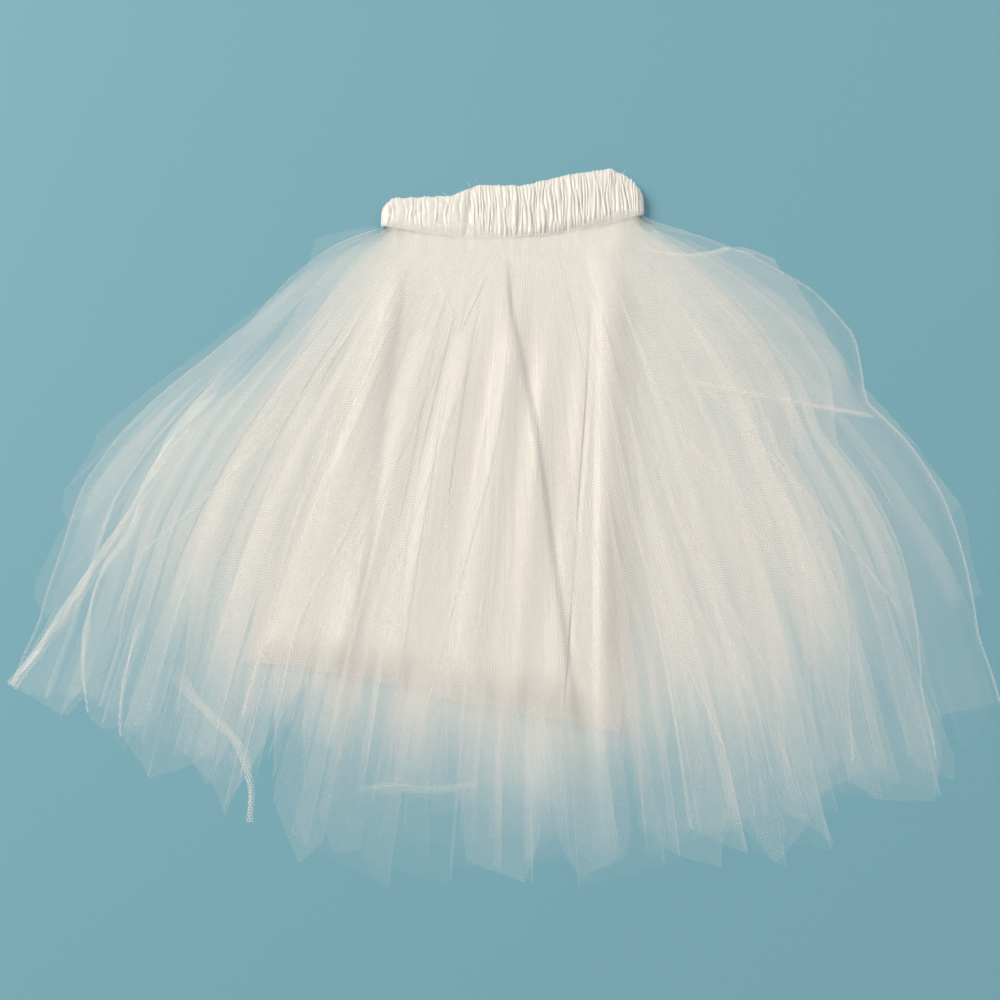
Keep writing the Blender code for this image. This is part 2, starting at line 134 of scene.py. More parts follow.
OUTER_BACK = (
    (-40.0, 0.525, 0.505), (-34.0, 0.515, 0.497), (-29.0, 0.51, 0.49), (-24.5, 0.498, 0.43),
    (-18.0, 0.53, 0.524), (-11.0, 0.5425, 0.528), (-5.0, 0.5345, 0.522), (1.0, 0.5325, 0.518),
    (7.0, 0.5365, 0.516), (13.0, 0.53, 0.51), (19.0, 0.54, 0.515), (25.0, 0.54, 0.512),
    (31.0, 0.545, 0.52), (37.0, 0.54, 0.52),
)
MIDDLE_FRONT = (
    (-36.5, 0.512, 0.485), (-32.0, 0.5, 0.48), (-28.0, 0.505, 0.47), (-24.0, 0.49, 0.41),
    (-18.5, 0.49, 0.462), (-13.0, 0.505, 0.488), (-8.0, 0.51, 0.494), (-3.0, 0.505, 0.49),
    (2.0, 0.515, 0.498), (7.0, 0.51, 0.49), (12.0, 0.53, 0.505), (17.0, 0.525, 0.5),
    (22.0, 0.535, 0.51), (27.0, 0.53, 0.505), (31.5, 0.545, 0.522),
)
MIDDLE_BACK = (
    (-34.0, 0.5, 0.48), (-28.0, 0.49, 0.47), (-24.5, 0.48, 0.415), (-18.0, 0.505, 0.49),
    (-9.0, 0.52, 0.502), (-2.0, 0.518, 0.5), (5.0, 0.522, 0.503), (12.0, 0.52, 0.5),
    (19.0, 0.52, 0.5), (26.0, 0.53, 0.508), (31.0, 0.535, 0.518),
)
INNER_FRONT = (
    (-30.5, 0.485, 0.46), (-26.0, 0.475, 0.45), (-23.5, 0.45, 0.4), (-19.0, 0.46, 0.44),
    (-12.0, 0.47, 0.455), (-7.0, 0.475, 0.46), (-2.0, 0.48, 0.465), (3.0, 0.475, 0.46),
    (8.0, 0.485, 0.465), (13.0, 0.49, 0.47), (18.0, 0.495, 0.475), (22.5, 0.505, 0.485),
    (26.5, 0.51, 0.49),
)
INNER_BACK = (
    (-28.5, 0.475, 0.455), (-24.5, 0.455, 0.41), (-18.0, 0.465, 0.45), (-6.0, 0.47, 0.455),
    (2.0, 0.475, 0.46), (10.0, 0.48, 0.462), (18.0, 0.49, 0.47), (25.0, 0.5, 0.48),
)
LINING_FRONT = (
    (-25.0, 0.412, 0.404), (-19.0, 0.402, 0.398), (-12.5, 0.398, 0.4), (-6.0, 0.404, 0.406),
    (0.0, 0.411, 0.41), (6.0, 0.418, 0.422),
)
LINING_BACK = (
    (-24.0, 0.408, 0.404), (-15.0, 0.4, 0.398), (-6.0, 0.402, 0.404), (3.0, 0.41, 0.414),
)

# Tubes from the outermost to the innermost. left and right: the side folds' hem corners; swing:
# degrees by which the side folds set off outwards; waves: share of the side waves; height: full
# height of the front folds; sweep: degrees by which whole groups of folds lean to one side; wide:
# share of the folds with a wide lap; tucks: most narrow tucks between two folds; cut: width and
# length of the cloth that shows, all round the tube
TUBES = (
    {"node": "tulle_outer", "left": (-44.8, 0.5455), "right": (42.9, 0.5475), "swing": 28.0,
     "waves": 1.0, "height": 0.0055, "sweep": 0.0, "front": OUTER_FRONT, "back": OUTER_BACK,
     "wide": 0.6, "tucks": 1, "seed": 11, "cut": (2.6, 0.53)},
    {"node": "tulle_middle", "left": (-38.0, 0.512), "right": (35.8, 0.546), "swing": 24.0,
     "waves": 0.9, "height": 0.0050, "sweep": 4.0, "front": MIDDLE_FRONT, "back": MIDDLE_BACK,
     "wide": 0.6, "tucks": 1, "seed": 23, "cut": (1.35, 0.51)},
    {"node": "tulle_inner", "left": (-32.0, 0.482), "right": (30.0, 0.512), "swing": 22.0,
     "waves": 0.7, "height": 0.0045, "sweep": 5.0, "front": INNER_FRONT, "back": INNER_BACK,
     "wide": 0.6, "tucks": 1, "seed": 37, "cut": (1.05, 0.48)},
    {"node": "lining", "left": (-29.5, 0.4235), "right": (10.8, 0.4306), "swing": 3.0,
     "waves": 0.0, "height": 0.0075, "sweep": 0.0, "front": LINING_FRONT, "back": LINING_BACK,
     "wide": 0.0, "tucks": 0, "seed": 5, "cut": (0.5, 0.41)},
)
LINING = 3  # number of the innermost tube

# Loose flaps of the outer net: shares of the waist seam towards which its two edges run, bow of the
# edges as a share of their length, plies, share of the way down at which it comes out from under
# the net, and hem corners as fan angle and reach
FLAPS = (
    (0.0, 0.012, 0.02, 1.0, 0.02, ((-86.5, 0.142), (-85.3, 0.166), (-77.0, 0.176), (-74.0, 0.189))),
    (0.0, 0.03, 0.02, 1.2, 0.02, ((-74.0, 0.189), (-68.3, 0.229), (-64.3, 0.246), (-61.0, 0.236))),
    (0.0, 0.06, 0.03, 1.1, 0.02, ((-63.0, 0.333), (-60.8, 0.383), (-59.1, 0.395), (-57.1, 0.427))),
    (0.01, 0.07, 0.04, 0.8, 0.02, ((-57.0, 0.428), (-55.5, 0.437), (-53.7, 0.436), (-52.0, 0.42))),
    (0.015, 0.08, 0.05, 0.9, 0.02, ((-53.6, 0.436), (-51.2, 0.484), (-49.2, 0.492), (-46.6, 0.493))),
    (0.03, 0.1, 0.06, 1.0, 0.25, ((-46.8, 0.48), (-44.8, 0.546), (-39.2, 0.531), (-39.6, 0.509))),
    (0.06, 0.13, 0.06, 1.0, 0.25, ((-39.8, 0.505), (-37.7, 0.52), (-36.2, 0.5215), (-33.0, 0.5))),
    (0.09, 0.16, 0.05, 1.2, 0.5, ((-34.3, 0.516), (-30.6, 0.53), (-28.1, 0.512), (-26.8, 0.49))),
    (0.15, 0.23, 0.04, 1.4, 0.5, ((-28.0, 0.505), (-25.7, 0.512), (-23.6, 0.527), (-22.8, 0.47))),
    (0.27, 0.33, 0.0, 1.3, 0.5, ((-20.8, 0.478), (-20.2, 0.5025), (-17.0, 0.54), (-15.9, 0.521))),
    (0.3, 0.4, 0.0, 1.0, 0.5, ((-16.6, 0.5), (-14.5, 0.526), (-12.6, 0.52), (-11.8, 0.4755))),
    (0.42, 0.5, 0.0, 1.3, 0.5, ((-5.4, 0.47), (-3.4, 0.516), (0.6, 0.53), (2.0, 0.498))),
    (0.52, 0.6, 0.0, 1.1, 0.5, ((2.8, 0.494), (5.4, 0.528), (9.0, 0.519), (10.4, 0.499))),
    (0.6, 0.68, 0.0, 1.3, 0.5, ((10.6, 0.5), (12.9, 0.525), (16.2, 0.541), (18.2, 0.508))),
    (0.68, 0.76, 0.02, 1.2, 0.5, ((18.0, 0.512), (20.0, 0.5515), (23.4, 0.535), (24.0, 0.5))),
    (0.72, 0.83, 0.02, 1.4, 0.5, ((22.4, 0.518), (24.8, 0.555), (25.7, 0.519), (29.4, 0.52))),
    (0.8, 0.9, 0.03, 1.5, 0.5, ((28.4, 0.52), (29.4, 0.542), (33.2, 0.566), (36.2, 0.541))),
    (0.88, 0.96, 0.04, 1.0, 0.5, ((33.4, 0.54), (35.2, 0.563), (36.6, 0.548), (38.4, 0.5))),
    (0.94, 0.995, 0.05, 1.1, 0.25, ((38.0, 0.52), (42.8, 0.544), (46.8, 0.489), (45.0, 0.47))),
    (0.965, 1.0, 0.05, 1.0, 0.25, ((46.2, 0.47), (49.8, 0.486), (52.0, 0.455), (55.2, 0.433))),
    (0.975, 1.0, 0.05, 1.0, 0.02, ((53.0, 0.43), (55.2, 0.4324), (59.3, 0.3825), (58.9, 0.34))),
)
FLAP_WANDER, FLAP_WANDER_WAVES = 0.012, (0.9, 1.7)
LOOSE_BED = 0.85  # crest share at which loose cloth lies on the outer net
LOOSE_LIFT = 0.0006  # of a flap over that
UPPER_LIFT = 0.0008  # of ropes and panels, which lie over the flaps
FLAP_SEED, ROPE_SEED, PANEL_SEED, HEADING_SEED, BAND_SEED = 300, 400, 500, 61, 71
# Lanes of a rope, in the order of its cloth: place across it, share of its plies. The cloth turns
# back at each dense lane
ROPE_LANES = np.array((
    (-1.0, 1.6), (-0.9, 0.3), (-0.2, 0.3), (-0.1, 1.4), (-0.2, 0.3), (-0.55, 0.3),
    (-0.63, 1.2), (-0.55, 0.3), (0.24, 0.3), (0.32, 1.3), (0.24, 0.3), (0.0, 0.3), (-0.08, 1.0),
    (0.0, 0.3), (0.84, 0.3), (0.92, 1.5), (0.84, 0.3), (0.48, 0.3), (0.4, 1.0), (0.48, 0.3),
    (0.91, 0.3), (1.0, 1.6),
))
ROPE_LIFT = 0.22  # height of a rope as a share of its width
ROPE_PLIES, ROPE_SPREAD = 1.7, 0.0015
ROPE_UNEVEN, ROPE_TANGLE = 0.35, 0.45  # of its width, and of its lanes' places
# Ropes, the narrow bunches of the net: first its rolled edges, then its creases. Width at the
# start, middle and end, plies, and the path from the waist side outwards
ROPES = (
    (0.024, 0.012, 0.0085, 1.0,
     ((-0.2083, 0.1171), (-0.246, 0.0659), (-0.2755, 0.0159), (-0.299, -0.025), (-0.32, -0.06),
      (-0.348, -0.106), (-0.379, -0.1455))),
    (0.01, 0.0045, 0.0015, 0.6,
     ((-0.276, 0.015), (-0.29, -0.03), (-0.313, -0.066), (-0.319, -0.1), (-0.3193, -0.1344),
      (-0.3126, -0.168))),
    (0.012, 0.008, 0.005, 0.5,
     ((-0.253, -0.129), (-0.239, -0.148), (-0.2203, -0.1683), (-0.202, -0.1854), (-0.1904, -0.2052),
      (-0.1864, -0.2249), (-0.1868, -0.2462))),
    (0.004, 0.003, 0.0015, 0.7,
     ((-0.275, -0.09), (-0.2856, -0.1457), (-0.287, -0.17), (-0.2857, -0.1846))),
    (0.008, 0.008, 0.006, 0.2,
     ((-0.114, -0.223), (-0.0792, -0.2215), (-0.042, -0.2225), (-0.0194, -0.218))),
    (0.006, 0.0055, 0.002, 1.3,
     ((0.115, 0.0905), (0.21, 0.076), (0.296, 0.0668))),
    (0.006, 0.003, 0.0008, 1.6,
     ((0.1, 0.22), (0.12, 0.208), (0.1537, 0.2029), (0.1749, 0.209), (0.1971, 0.2165),
      (0.209, 0.213))),
    (0.004, 0.0034, 0.0025, 1.7,
     ((-0.06, 0.1885), (-0.054, 0.174), (-0.0473, 0.1591), (-0.0364, 0.1337))),
    (0.006, 0.004, 0.002, 0.8,
     ((0.116, 0.07), (0.156, 0.025), (0.199, -0.02), (0.235, -0.07))),
    (0.007, 0.005, 0.002, 0.7,
     ((0.113, 0.05), (0.133, -0.02), (0.16, -0.09), (0.18, -0.15))),
    (0.006, 0.0045, 0.002, 0.9,
     ((-0.129, 0.09), (-0.139, 0.04), (-0.16, -0.02), (-0.178, -0.1), (-0.195, -0.17))),
    (0.005, 0.004, 0.0015, 0.8,
     ((-0.1, 0.02), (-0.125, -0.04), (-0.153, -0.095), (-0.17, -0.17))),
    (0.003, 0.0045, 0.0015, 0.7,
     ((0.085, 0.155), (0.15, 0.09), (0.23, 0.0), (0.3, -0.09))),
    (0.003, 0.004, 0.0015, 0.6,
     ((0.083, 0.13), (0.13, 0.06), (0.195, -0.035), (0.25, -0.125))),
    (0.003, 0.0045, 0.0015, 0.7,
     ((0.086, 0.11), (0.115, 0.03), (0.16, -0.07), (0.208, -0.16))),
    (0.003, 0.004, 0.0015, 0.6,
     ((0.088, 0.06), (0.105, -0.02), (0.128, -0.11), (0.16, -0.19))),
    (0.003, 0.0045, 0.0015, 0.8,
     ((-0.034, 0.165), (-0.062, 0.08), (-0.105, -0.025), (-0.145, -0.12))),
    (0.003, 0.004, 0.0015, 0.7,
     ((-0.008, 0.2), (-0.025, 0.12), (-0.053, 0.03), (-0.085, -0.06))),
    (0.003, 0.0045, 0.0015, 0.8,
     ((-0.09, 0.19), (-0.14, 0.105), (-0.21, 0.015), (-0.278, -0.045))),
    (0.003, 0.004, 0.0015, 0.6,
     ((0.005, 0.12), (-0.01, 0.03), (-0.035, -0.07), (-0.06, -0.17))),
)
# Puffed panels over the outer net: plies, whether they fade out at their edges, and the two edges
# they span, both from the waist outwards
PANELS = (
    (3.0, False, ((-0.0584, 0.1849), (-0.0473, 0.1591), (-0.0364, 0.1337)),
     ((-0.0003, 0.215), (-0.0144, 0.1814), (-0.0348, 0.1319))),
    (0.5, False, ((0.123, 0.233), (0.1537, 0.2029), (0.1971, 0.2205), (0.2253, 0.21)),
     ((0.123, 0.12), (0.156, 0.085), (0.22, 0.0745), (0.293, 0.0672))),
    (2.2, True, ((-0.108, 0.23), (-0.13, 0.19), (-0.148, 0.14)),
     ((-0.025, 0.226), (-0.042, 0.19), (-0.056, 0.13))),
    (5.0, True, ((0.03, 0.226), (0.042, 0.185), (0.06, 0.12)),
     ((0.123, 0.233), (0.132, 0.18), (0.133, 0.115))),
    (3.2, True, ((-0.19, 0.09), (-0.205, 0.03), (-0.195, -0.07)),
     ((-0.118, 0.1), (-0.115, 0.03), (-0.115, -0.07))),
    (3.5, True, ((0.115, 0.06), (0.115, -0.02), (0.11, -0.12)),
     ((0.19, 0.05), (0.215, -0.02), (0.21, -0.095))),
    (3.0, True, ((-0.085, -0.105), (-0.09, -0.15), (-0.085, -0.2)),
     ((0.005, -0.105), (0.01, -0.15), (0.015, -0.205))),
    (4.5, True, ((0.015, -0.115), (0.02, -0.165), (0.015, -0.225)),
     ((0.12, -0.105), (0.13, -0.165), (0.135, -0.225))),
    (3.6, True, ((-0.045, -0.14), (-0.04, -0.205), (-0.035, -0.278)),
     ((0.07, -0.14), (0.08, -0.205), (0.082, -0.278))),
    (2.2, True, ((0.1, -0.1), (0.12, -0.15), (0.145, -0.235)),
     ((0.19, -0.08), (0.215, -0.13), (0.24, -0.2))),
    (2.0, True, ((-0.03, 0.215), (-0.11, 0.1), (-0.23, 0.01)),
     ((-0.01, 0.15), (-0.07, 0.0), (-0.13, -0.15))),
    (1.6, True, ((0.04, 0.15), (0.05, 0.0), (0.07, -0.18)),
     ((0.09, 0.14), (0.19, -0.03), (0.26, -0.19))),
    (1.1, True, ((-0.1, 0.2), (-0.18, 0.13), (-0.27, 0.07)),
     ((-0.09, 0.12), (-0.17, 0.01), (-0.27, -0.08))),
    (0.7, True, ((-0.19, 0.14), (-0.27, 0.085), (-0.335, 0.01)),
     ((-0.17, 0.07), (-0.23, -0.01), (-0.295, -0.09))),
)
PANEL_ROWS, PANEL_COLUMNS = 30, 26
PANEL_RIPPLE, PANEL_RIPPLE_WAVES = 0.0012, (0.023, 0.047)
# Broad folds of the satin, which the net over them follows: the x of the left and right edges down
# the skirt, by y, and the rise across from the left edge to the right one
SATIN_Y = (0.205, 0.157, 0.057, -0.050, -0.153, -0.190)
SATIN_FOLDS = (
    ((-0.062, -0.058, -0.046, -0.042, -0.04, -0.04), (0.002, 0.006, 0.026, 0.039, 0.053, 0.058),
     ((0.0, 0.0), (0.5, 0.001), (0.86, 0.0034), (0.94, 0.0034), (0.97, 0.0024), (1.0, 0.0))),
    ((0.066, 0.075, 0.071, 0.068, 0.066, 0.066), (0.112, 0.112, 0.112, 0.11, 0.106, 0.104),
     ((0.0, 0.0), (0.05, 0.0016), (0.12, 0.0034), (0.22, 0.004), (0.55, 0.0026), (1.0, 0.0))),
    ((-0.11, -0.12, -0.14, -0.16, -0.18, -0.19),
     (-0.08, -0.085, -0.095, -0.105, -0.112, -0.115),
     ((0.0, 0.0), (0.3, 0.0014), (0.7, 0.003), (0.88, 0.0022), (1.0, 0.0))),
)

# ---- Mesh fineness ----
NET_ROWS = 44
LINING_ROWS = 64
FRONT_STEP = 0.0028  # cloth width of one mesh column at the hem
BACK_STEP = 0.0050
SATIN_STEP = 0.0012
LINE_MARGIN = 0.0006  # a narrow column beside each fold line keeps the line crisp
TURN_DEGREES = (22.0, 60.0, 90.0, 120.0, 158.0)

# ---- Folds of the net ----
NARROW_LAP = (0.15, 0.60)  # degrees of the fan by which the cloth folds back on itself
WIDE_LAP = (1.0, 3.6)
FOLD_GROWTH = 0.35  # share of the length over which a fold opens to its full lap
PRESSED_LINE = 5.2  # degrees at which the lining has its one pressed fold line
DRIFT, DRIFT_WAVES = 1.3, (0.11, 0.19, 0.37)  # degrees by which fold lines wander
SWEEP_WAVES = (0.35, 0.60)
RIPPLE_HEIGHT = 0.0009
RIPPLE_WAVES = (0.010, 0.015, 0.023, 0.037)
SATIN_RIPPLES = (0.027, 0.041, 0.067)
MEAN_CREST = 0.55  # where the front starts at the seam, as a share of its fold height
BACK_CREST = 0.45  # mean crest of the back sheet's shallow folds
BACK_LIFT = SHEET_PITCH - 0.0004
FLOOR_CLEARANCE = 0.0002

# ---- Cover of the net: how much of what lies behind one mesh sheet it hides ----
NET_PITCH = 0.0020
HOLE_COVER = 0.010
PLY_COVER = 0.12
FLAP_COVER = 0.62  # share of the net's threads that a loose flap shows
PANEL_THREADS = 0.35  # share of its threads that shows in a soft, densely bunched panel
GATHER_PLIES = 0.50  # extra plies for each doubling of the cloth towards the waist
WAIST_SHARE = 0.24  # width of the waist as a share of the hem's
LINE_PLIES = 1.1  # extra plies along a fold line
CLOUD_SHARE, CLOUD_WAVES = 0.75, (0.05, 0.09, 0.17)  # soft uneven bunching
STREAK_PLIES, STREAK_WAVES = 0.9, (0.015, 0.026, 0.048)
# Extra plies of a sheet round the fan, by degrees; they end between two distances from its centre
BUNCHING = np.array((
    (-45.0, 0.05), (-40.0, 0.15), (-34.0, 0.6), (-26.0, 1.15), (-10.0, 1.6), (0.0, 1.4),
    (10.0, 1.5), (20.0, 1.3), (28.0, 0.9), (36.0, 0.35), (43.0, 0.0),
))
BUNCHING_END = (0.32, 0.46)
CENTRE = (-8.0, 10.0)  # degrees of the fan where the net lies thin over the lining
CENTRE_FADE, CENTRE_THIN = 4, 0.6
# Share of the full threads by degrees of the fan; at the hem OPEN_HEM of them goes, between two
# distances from the fan centre
OPEN_SIDES = np.array(((-46.0, 0.34), (-40.0, 0.60), (-32.0, 0.75), (33.0, 0.75), (44.0, 0.46)))
OPEN_HEM, OPEN_HEM_RAMP = 0.72, (0.39, 0.49)
SATIN_THIN = 0.80  # how far the satin lets light through at its hem and sides
SATIN_HEM, SATIN_SIDE = (0.90, 1.0), 0.025  # shares of its length, width
UPRIGHT = 0.25  # share by which the round threads take light from above

# ---- Colours and finish ----
THREAD_SLOPE, THREAD_OFFSET = -1.40, -0.75  # threads cut out of the sum of three crossed waves
STREAK_SCALE = (260.0, 7.0, 1.0)  # fine plies of the gathers, along the cloth
STREAK_LEAST, STREAK_RANGE = 0.55, 0.9
TWILL_SCALE, TWILL_SHARE = (3200.0, 420.0, 1.0), 0.15
CREASE_SCALE, CLOUD_SCALE = (90.0, 16.0, 16.0), (22.0, 22.0, 22.0)
SATIN_BUMP, SATIN_BUMP_DISTANCE = 0.25, 0.0004
# Nets from the outermost inwards: name, colour, cover of their threads
NETS = (
    ("net_outer", (0.88, 0.85, 0.79), 0.44), ("net_middle", (0.87, 0.825, 0.755), 0.22),
    ("net_inner", (0.86, 0.81, 0.73), 0.18),
)
LINING_COLOUR, LINING_ROUGHNESS = (0.92, 0.87, 0.785), 0.36
BAND_COLOUR, BAND_ROUGHNESS = (0.98, 0.935, 0.855), 0.28
# Roughness, specular level and sheen
NET_GLOSS = (0.62, 0.25, 0.25)
SATIN_SPECULAR, SATIN_SHEEN = 0.45, 0.20

# ---- Stage ----
FLOOR_SIZE, FLOOR_COLOUR, FLOOR_ROUGHNESS = 12.0, (0.21, 0.46, 0.55, 1.0), 0.7
WORLD_COLOUR, WORLD_STRENGTH = (0.98, 0.98, 0.98, 1.0), 0.40
# Soft boxes: name, place, size, watts, colour
LIGHTS = (
    ("key", (-3.4, 1.9, 3.3), 2.6, 178.0, (1.0, 0.95, 0.88)),
    ("fill", (1.3, 0.6, 1.5), 1.6, 4.0, (0.94, 0.97, 1.0)),
)

# ---- Camera ----
CAMERA_ELEVATION = 76.0
CAMERA_DISTANCE = 0.95
CAMERA_FOCAL = 42.75
CAMERA_TARGET = (-0.0045, 0.0020, 0.0)


def link(name, content):
    made = bpy.data.objects.new(name, content)
    bpy.context.collection.objects.link(made)
    return made


def smooth_ramp(value, start, end):
    share = np.clip((np.asarray(value, float) - start) / (end - start), 0.0, 1.0)
    return share * share * (3.0 - 2.0 * share)


def unit(vectors):
    return vectors / np.maximum(np.linalg.norm(vectors, axis=-1, keepdims=True), 1e-12)


def stacked(*fields):
    """Fields side by side, as points or as cloth coordinates."""
    return np.stack(np.broadcast_arrays(*fields), axis=-1)


def table_value(table, place, column=1):
    """A table's column at a place in its first column."""
    return np.interp(place, table[:, 0], table[:, column])


def ply_cover(plies):
    """Share of what lies behind that a number of plies hides."""
    return 1 - (1 - PLY_COVER) ** plies


# ---- Plan and heights of the skirt, as in the CAD model ----
def seam_y(x):
    return SEAM_BASE + SEAM_SLOPE * x + SEAM_CURVE * x * x


def fan_point(angle, reach):
    turn = np.radians(angle)
    return FAN_X + reach * np.sin(turn), FAN_Y - reach * np.cos(turn)


def plan_points(layer, across, angle, reach, along):
    """Plan positions on a tube; the last four arguments broadcast together."""
    tube = TUBES[layer]
    inset = layer * WAIST_INSET
    start_x = WAIST_LEFT + inset + (WAIST_RIGHT - WAIST_LEFT - 2 * inset) * across
    start_y = seam_y(start_x) - SEAM_GAP
    end_x, end_y = fan_point(angle, reach)
    limit = np.where(angle > 0, abs(tube["right"][0]), abs(tube["left"][0]))
    side = np.clip(angle / limit, -1.0, 1.0)
    swing = math.radians(tube["swing"]) * side * np.abs(side)
    share = MIDDLE_REACH + SIDE_REACH * side * side
    chord_x, chord_y = end_x - start_x, end_y - start_y
    control_x = start_x + share * (chord_x * np.cos(swing) - chord_y * np.sin(swing))
    control_y = start_y + share * (chord_x * np.sin(swing) + chord_y * np.cos(swing))
    near, mid, far = (1 - along) ** 2, 2 * along * (1 - along), along ** 2
    x = near * start_x + mid * control_x + far * end_x
    y = near * start_y + mid * control_y + far * end_y
    push = np.where(angle > 0, table_value(SIDE_WAVES, along, 2), table_value(SIDE_WAVES, along))
    push = push * tube["waves"] * np.abs(side) ** SIDE_WAVE_FADE
    outward = np.where(angle > 0, 1.0, -1.0) / np.hypot(chord_x, chord_y)
    return x - chord_y * outward * push, y + chord_x * outward * push


def seam_distance(x, y):
    nearest = np.clip(x, WAIST_LEFT, WAIST_RIGHT)
    return np.hypot(x - nearest, np.minimum(y - seam_y(nearest), 0.0))


def side_distance(layer, x, y):
    along = np.linspace(0.0, 1.0, 40)
    tube = TUBES[layer]
    left_x, left_y = plan_points(layer, 0.0, *tube["left"], along)
    right_x, right_y = plan_points(layer, 1.0, *tube["right"], along)
    return np.minimum(x - np.interp(y, left_y[::-1], left_x[::-1]),
                      np.interp(y, right_y[::-1], right_x[::-1]) - x)


def loft(x, y):
    along = np.interp(seam_distance(x, y), LOFT_DISTANCE, LOFT_SHARE)
    across = smooth_ramp(side_distance(0, x, y), 0.0, LOFT_SIDE)
    return along * (LOFT_SIDE_SHARE + (1.0 - LOFT_SIDE_SHARE) * across)


def back_level(layer):
    return WALL / 2 + layer * SHEET_PITCH


def seam_rise(layer):
    """Height of a tube's front sheet over its back sheet at the waist seam."""
    return STACK_HEIGHT - WALL - 2 * layer * SHEET_PITCH


def edge_rise(layer, x, y):
    """The same at the side folds, which get thinner away from the seam."""
    full = seam_rise(layer)
    thin = smooth_ramp(seam_distance(x, y), EDGE_START, EDGE_END)
    return full + (min(EDGE_THIN, full) - full) * thin


def satin_relief(x, y):
    """Rise of the satin's broad folds, which the front sheets of the net over it follow."""
    rise = 0.0 * x
    for left, right, profile in SATIN_FOLDS:
        start = np.interp(-y, [-place for place in SATIN_Y], left)
        end = np.interp(-y, [-place for place in SATIN_Y], right)
        share, lift = np.array(profile).T
        rise = rise + np.interp((x - start) / (end - start), share, lift)
    return rise * smooth_ramp(seam_distance(x, y), 0.01, 0.06)


def front_height(layer, x, y, crest):
    inside = smooth_ramp(side_distance(layer, x, y), 0.0, EDGE_WIDTH)
    rise = edge_rise(layer, x, y)
    level = back_level(layer) + rise + (seam_rise(layer) - rise) * inside
    below = sum(tube["height"] + SHEET_SLACK for tube in TUBES[layer + 1:])
    return level + loft(x, y) * inside * (below + TUBES[layer]["height"] * crest)


# ---- Uneven curves ----
def uneven(rng, across, along, lengths):
    """A smooth uneven field, about -1 to 1: waves of the given lengths across that beat and bend."""
    total = np.zeros(np.broadcast(across, along).shape)
    for length in lengths:
        phase, bend, beat_phase = rng.uniform(0.0, 2 * math.pi, 3)
        swing, beats = rng.uniform(0.8, 2.2), rng.uniform(4.0, 9.0)
        beat = 0.5 + 0.5 * np.sin(2 * math.pi * (across / (length * beats) + 0.7 * along) + beat_phase)
        total = total + beat * np.sin(2 * math.pi * across / length + phase
                                      + swing * np.sin(math.pi * along + bend))
    return total * 1.6 / len(lengths)


def hem_outline(tube, sheet):
    """Angles and reaches of a sheet's hem corners and notches, from side fold to side fold."""
    rows = tube[sheet]
    outline = [tube["left"], rows[0][:2]]
    for (angle, _, notch), after in zip(rows, rows[1:]):
        outline += [((angle + after[0]) / 2, notch), after[:2]]
    return np.array(outline + [tube["right"]]).T


def fold_lines(layer, sheet):
    """Fold lines in the order of the cloth, one row each: fan angle, shift to one side of it by
    half the lap, reach of the hem there, crest share, and share of the length where it sets in."""
    tube = TUBES[layer]
    rng = np.random.default_rng(tube["seed"] + (sheet == "back"))
    angles, reaches = hem_outline(tube, sheet)
    low, high = tube["left"][0], tube["right"][0]
    folds = []
    rows = [row for row in tube[sheet] if low + 1.0 < row[0] < high - 1.0]
    after = [row[0] for row in rows[1:]] + [high]
    for (angle, reach, notch), following in zip(rows, after):
        lap = WIDE_LAP if rng.random() < tube["wide"] else NARROW_LAP
        folds.append((angle, rng.uniform(*lap), reach, notch))
        tucks = rng.integers(0, tube["tucks"] + 1)
        for tuck in range(tucks):
            place = angle + (following - angle) * (tuck + rng.uniform(0.7, 1.3)) / (tucks + 1)
            here = np.interp(place, angles, reaches)
            folds.append((place, rng.uniform(*NARROW_LAP), here + 0.001, here - 0.002))
    lines = [(low, 0.0, tube["left"][1], 0.3, 0.0)]
    for angle, lap, corner, notch in sorted(folds):
        upper = rng.uniform(0.6, 1.0)
        lower = upper * rng.uniform(0.1, 0.5)
        start = rng.uniform(-0.1, 0.45)
        over = rng.random() < 0.5
        for side in (1, -1):
            shows = (side == 1) == over
            lines.append((angle, side * lap / 2, corner if shows else notch,
                          upper if shows else lower, start))
    lines.append((high, 0.0, tube["right"][1], 0.3, 0.0))
    return np.array(lines)


def soft_folds(layer, sheet):
    """Fold lines of the satin lining, which lies in broad soft folds with one pressed line."""
    tube = TUBES[layer]
    angles, reaches = hem_outline(tube, sheet)
    rng = np.random.default_rng(tube["seed"] + (sheet == "back"))
    lines = [(tube["left"][0], 0.0, tube["left"][1], 0.3, 0.0)]
    for number, angle in enumerate(angles[1:-1]):
        crest = rng.uniform(0.75, 1.0) if number % 2 == 0 else rng.uniform(0.1, 0.35)
        lines.append((angle, 0.0, reaches[number + 1], crest, 0.0))
        if sheet == "front" and angle < PRESSED_LINE < angles[number + 2]:
            reach = np.interp(PRESSED_LINE, angles, reaches)
            lines.append((PRESSED_LINE, 0.2, reach, 0.8, 0.0))
            lines.append((PRESSED_LINE, -0.2, reach - 0.001, 0.5, 0.0))
    lines.append((tube["right"][0], 0.0, tube["right"][1], 0.3, 0.0))
    return np.array(lines)


def line_columns(widths, step):
    """Mesh columns of a folded sheet: the fold line before each, and the share to the next one."""
    columns = []
    for line, width in enumerate(widths):
        count = max(1, round(width / step))
        shares = [0.0]
        if width > 4 * LINE_MARGIN:
            shares += [LINE_MARGIN / width]
            shares += [number / count for number in range(1, count)]
            shares += [1 - LINE_MARGIN / width]
        columns += [(line, share) for share in shares]
    columns.append((len(widths) - 1, 1.0))
    columns = np.array(columns)
    return columns[:, 0].astype(int), columns[:, 1]


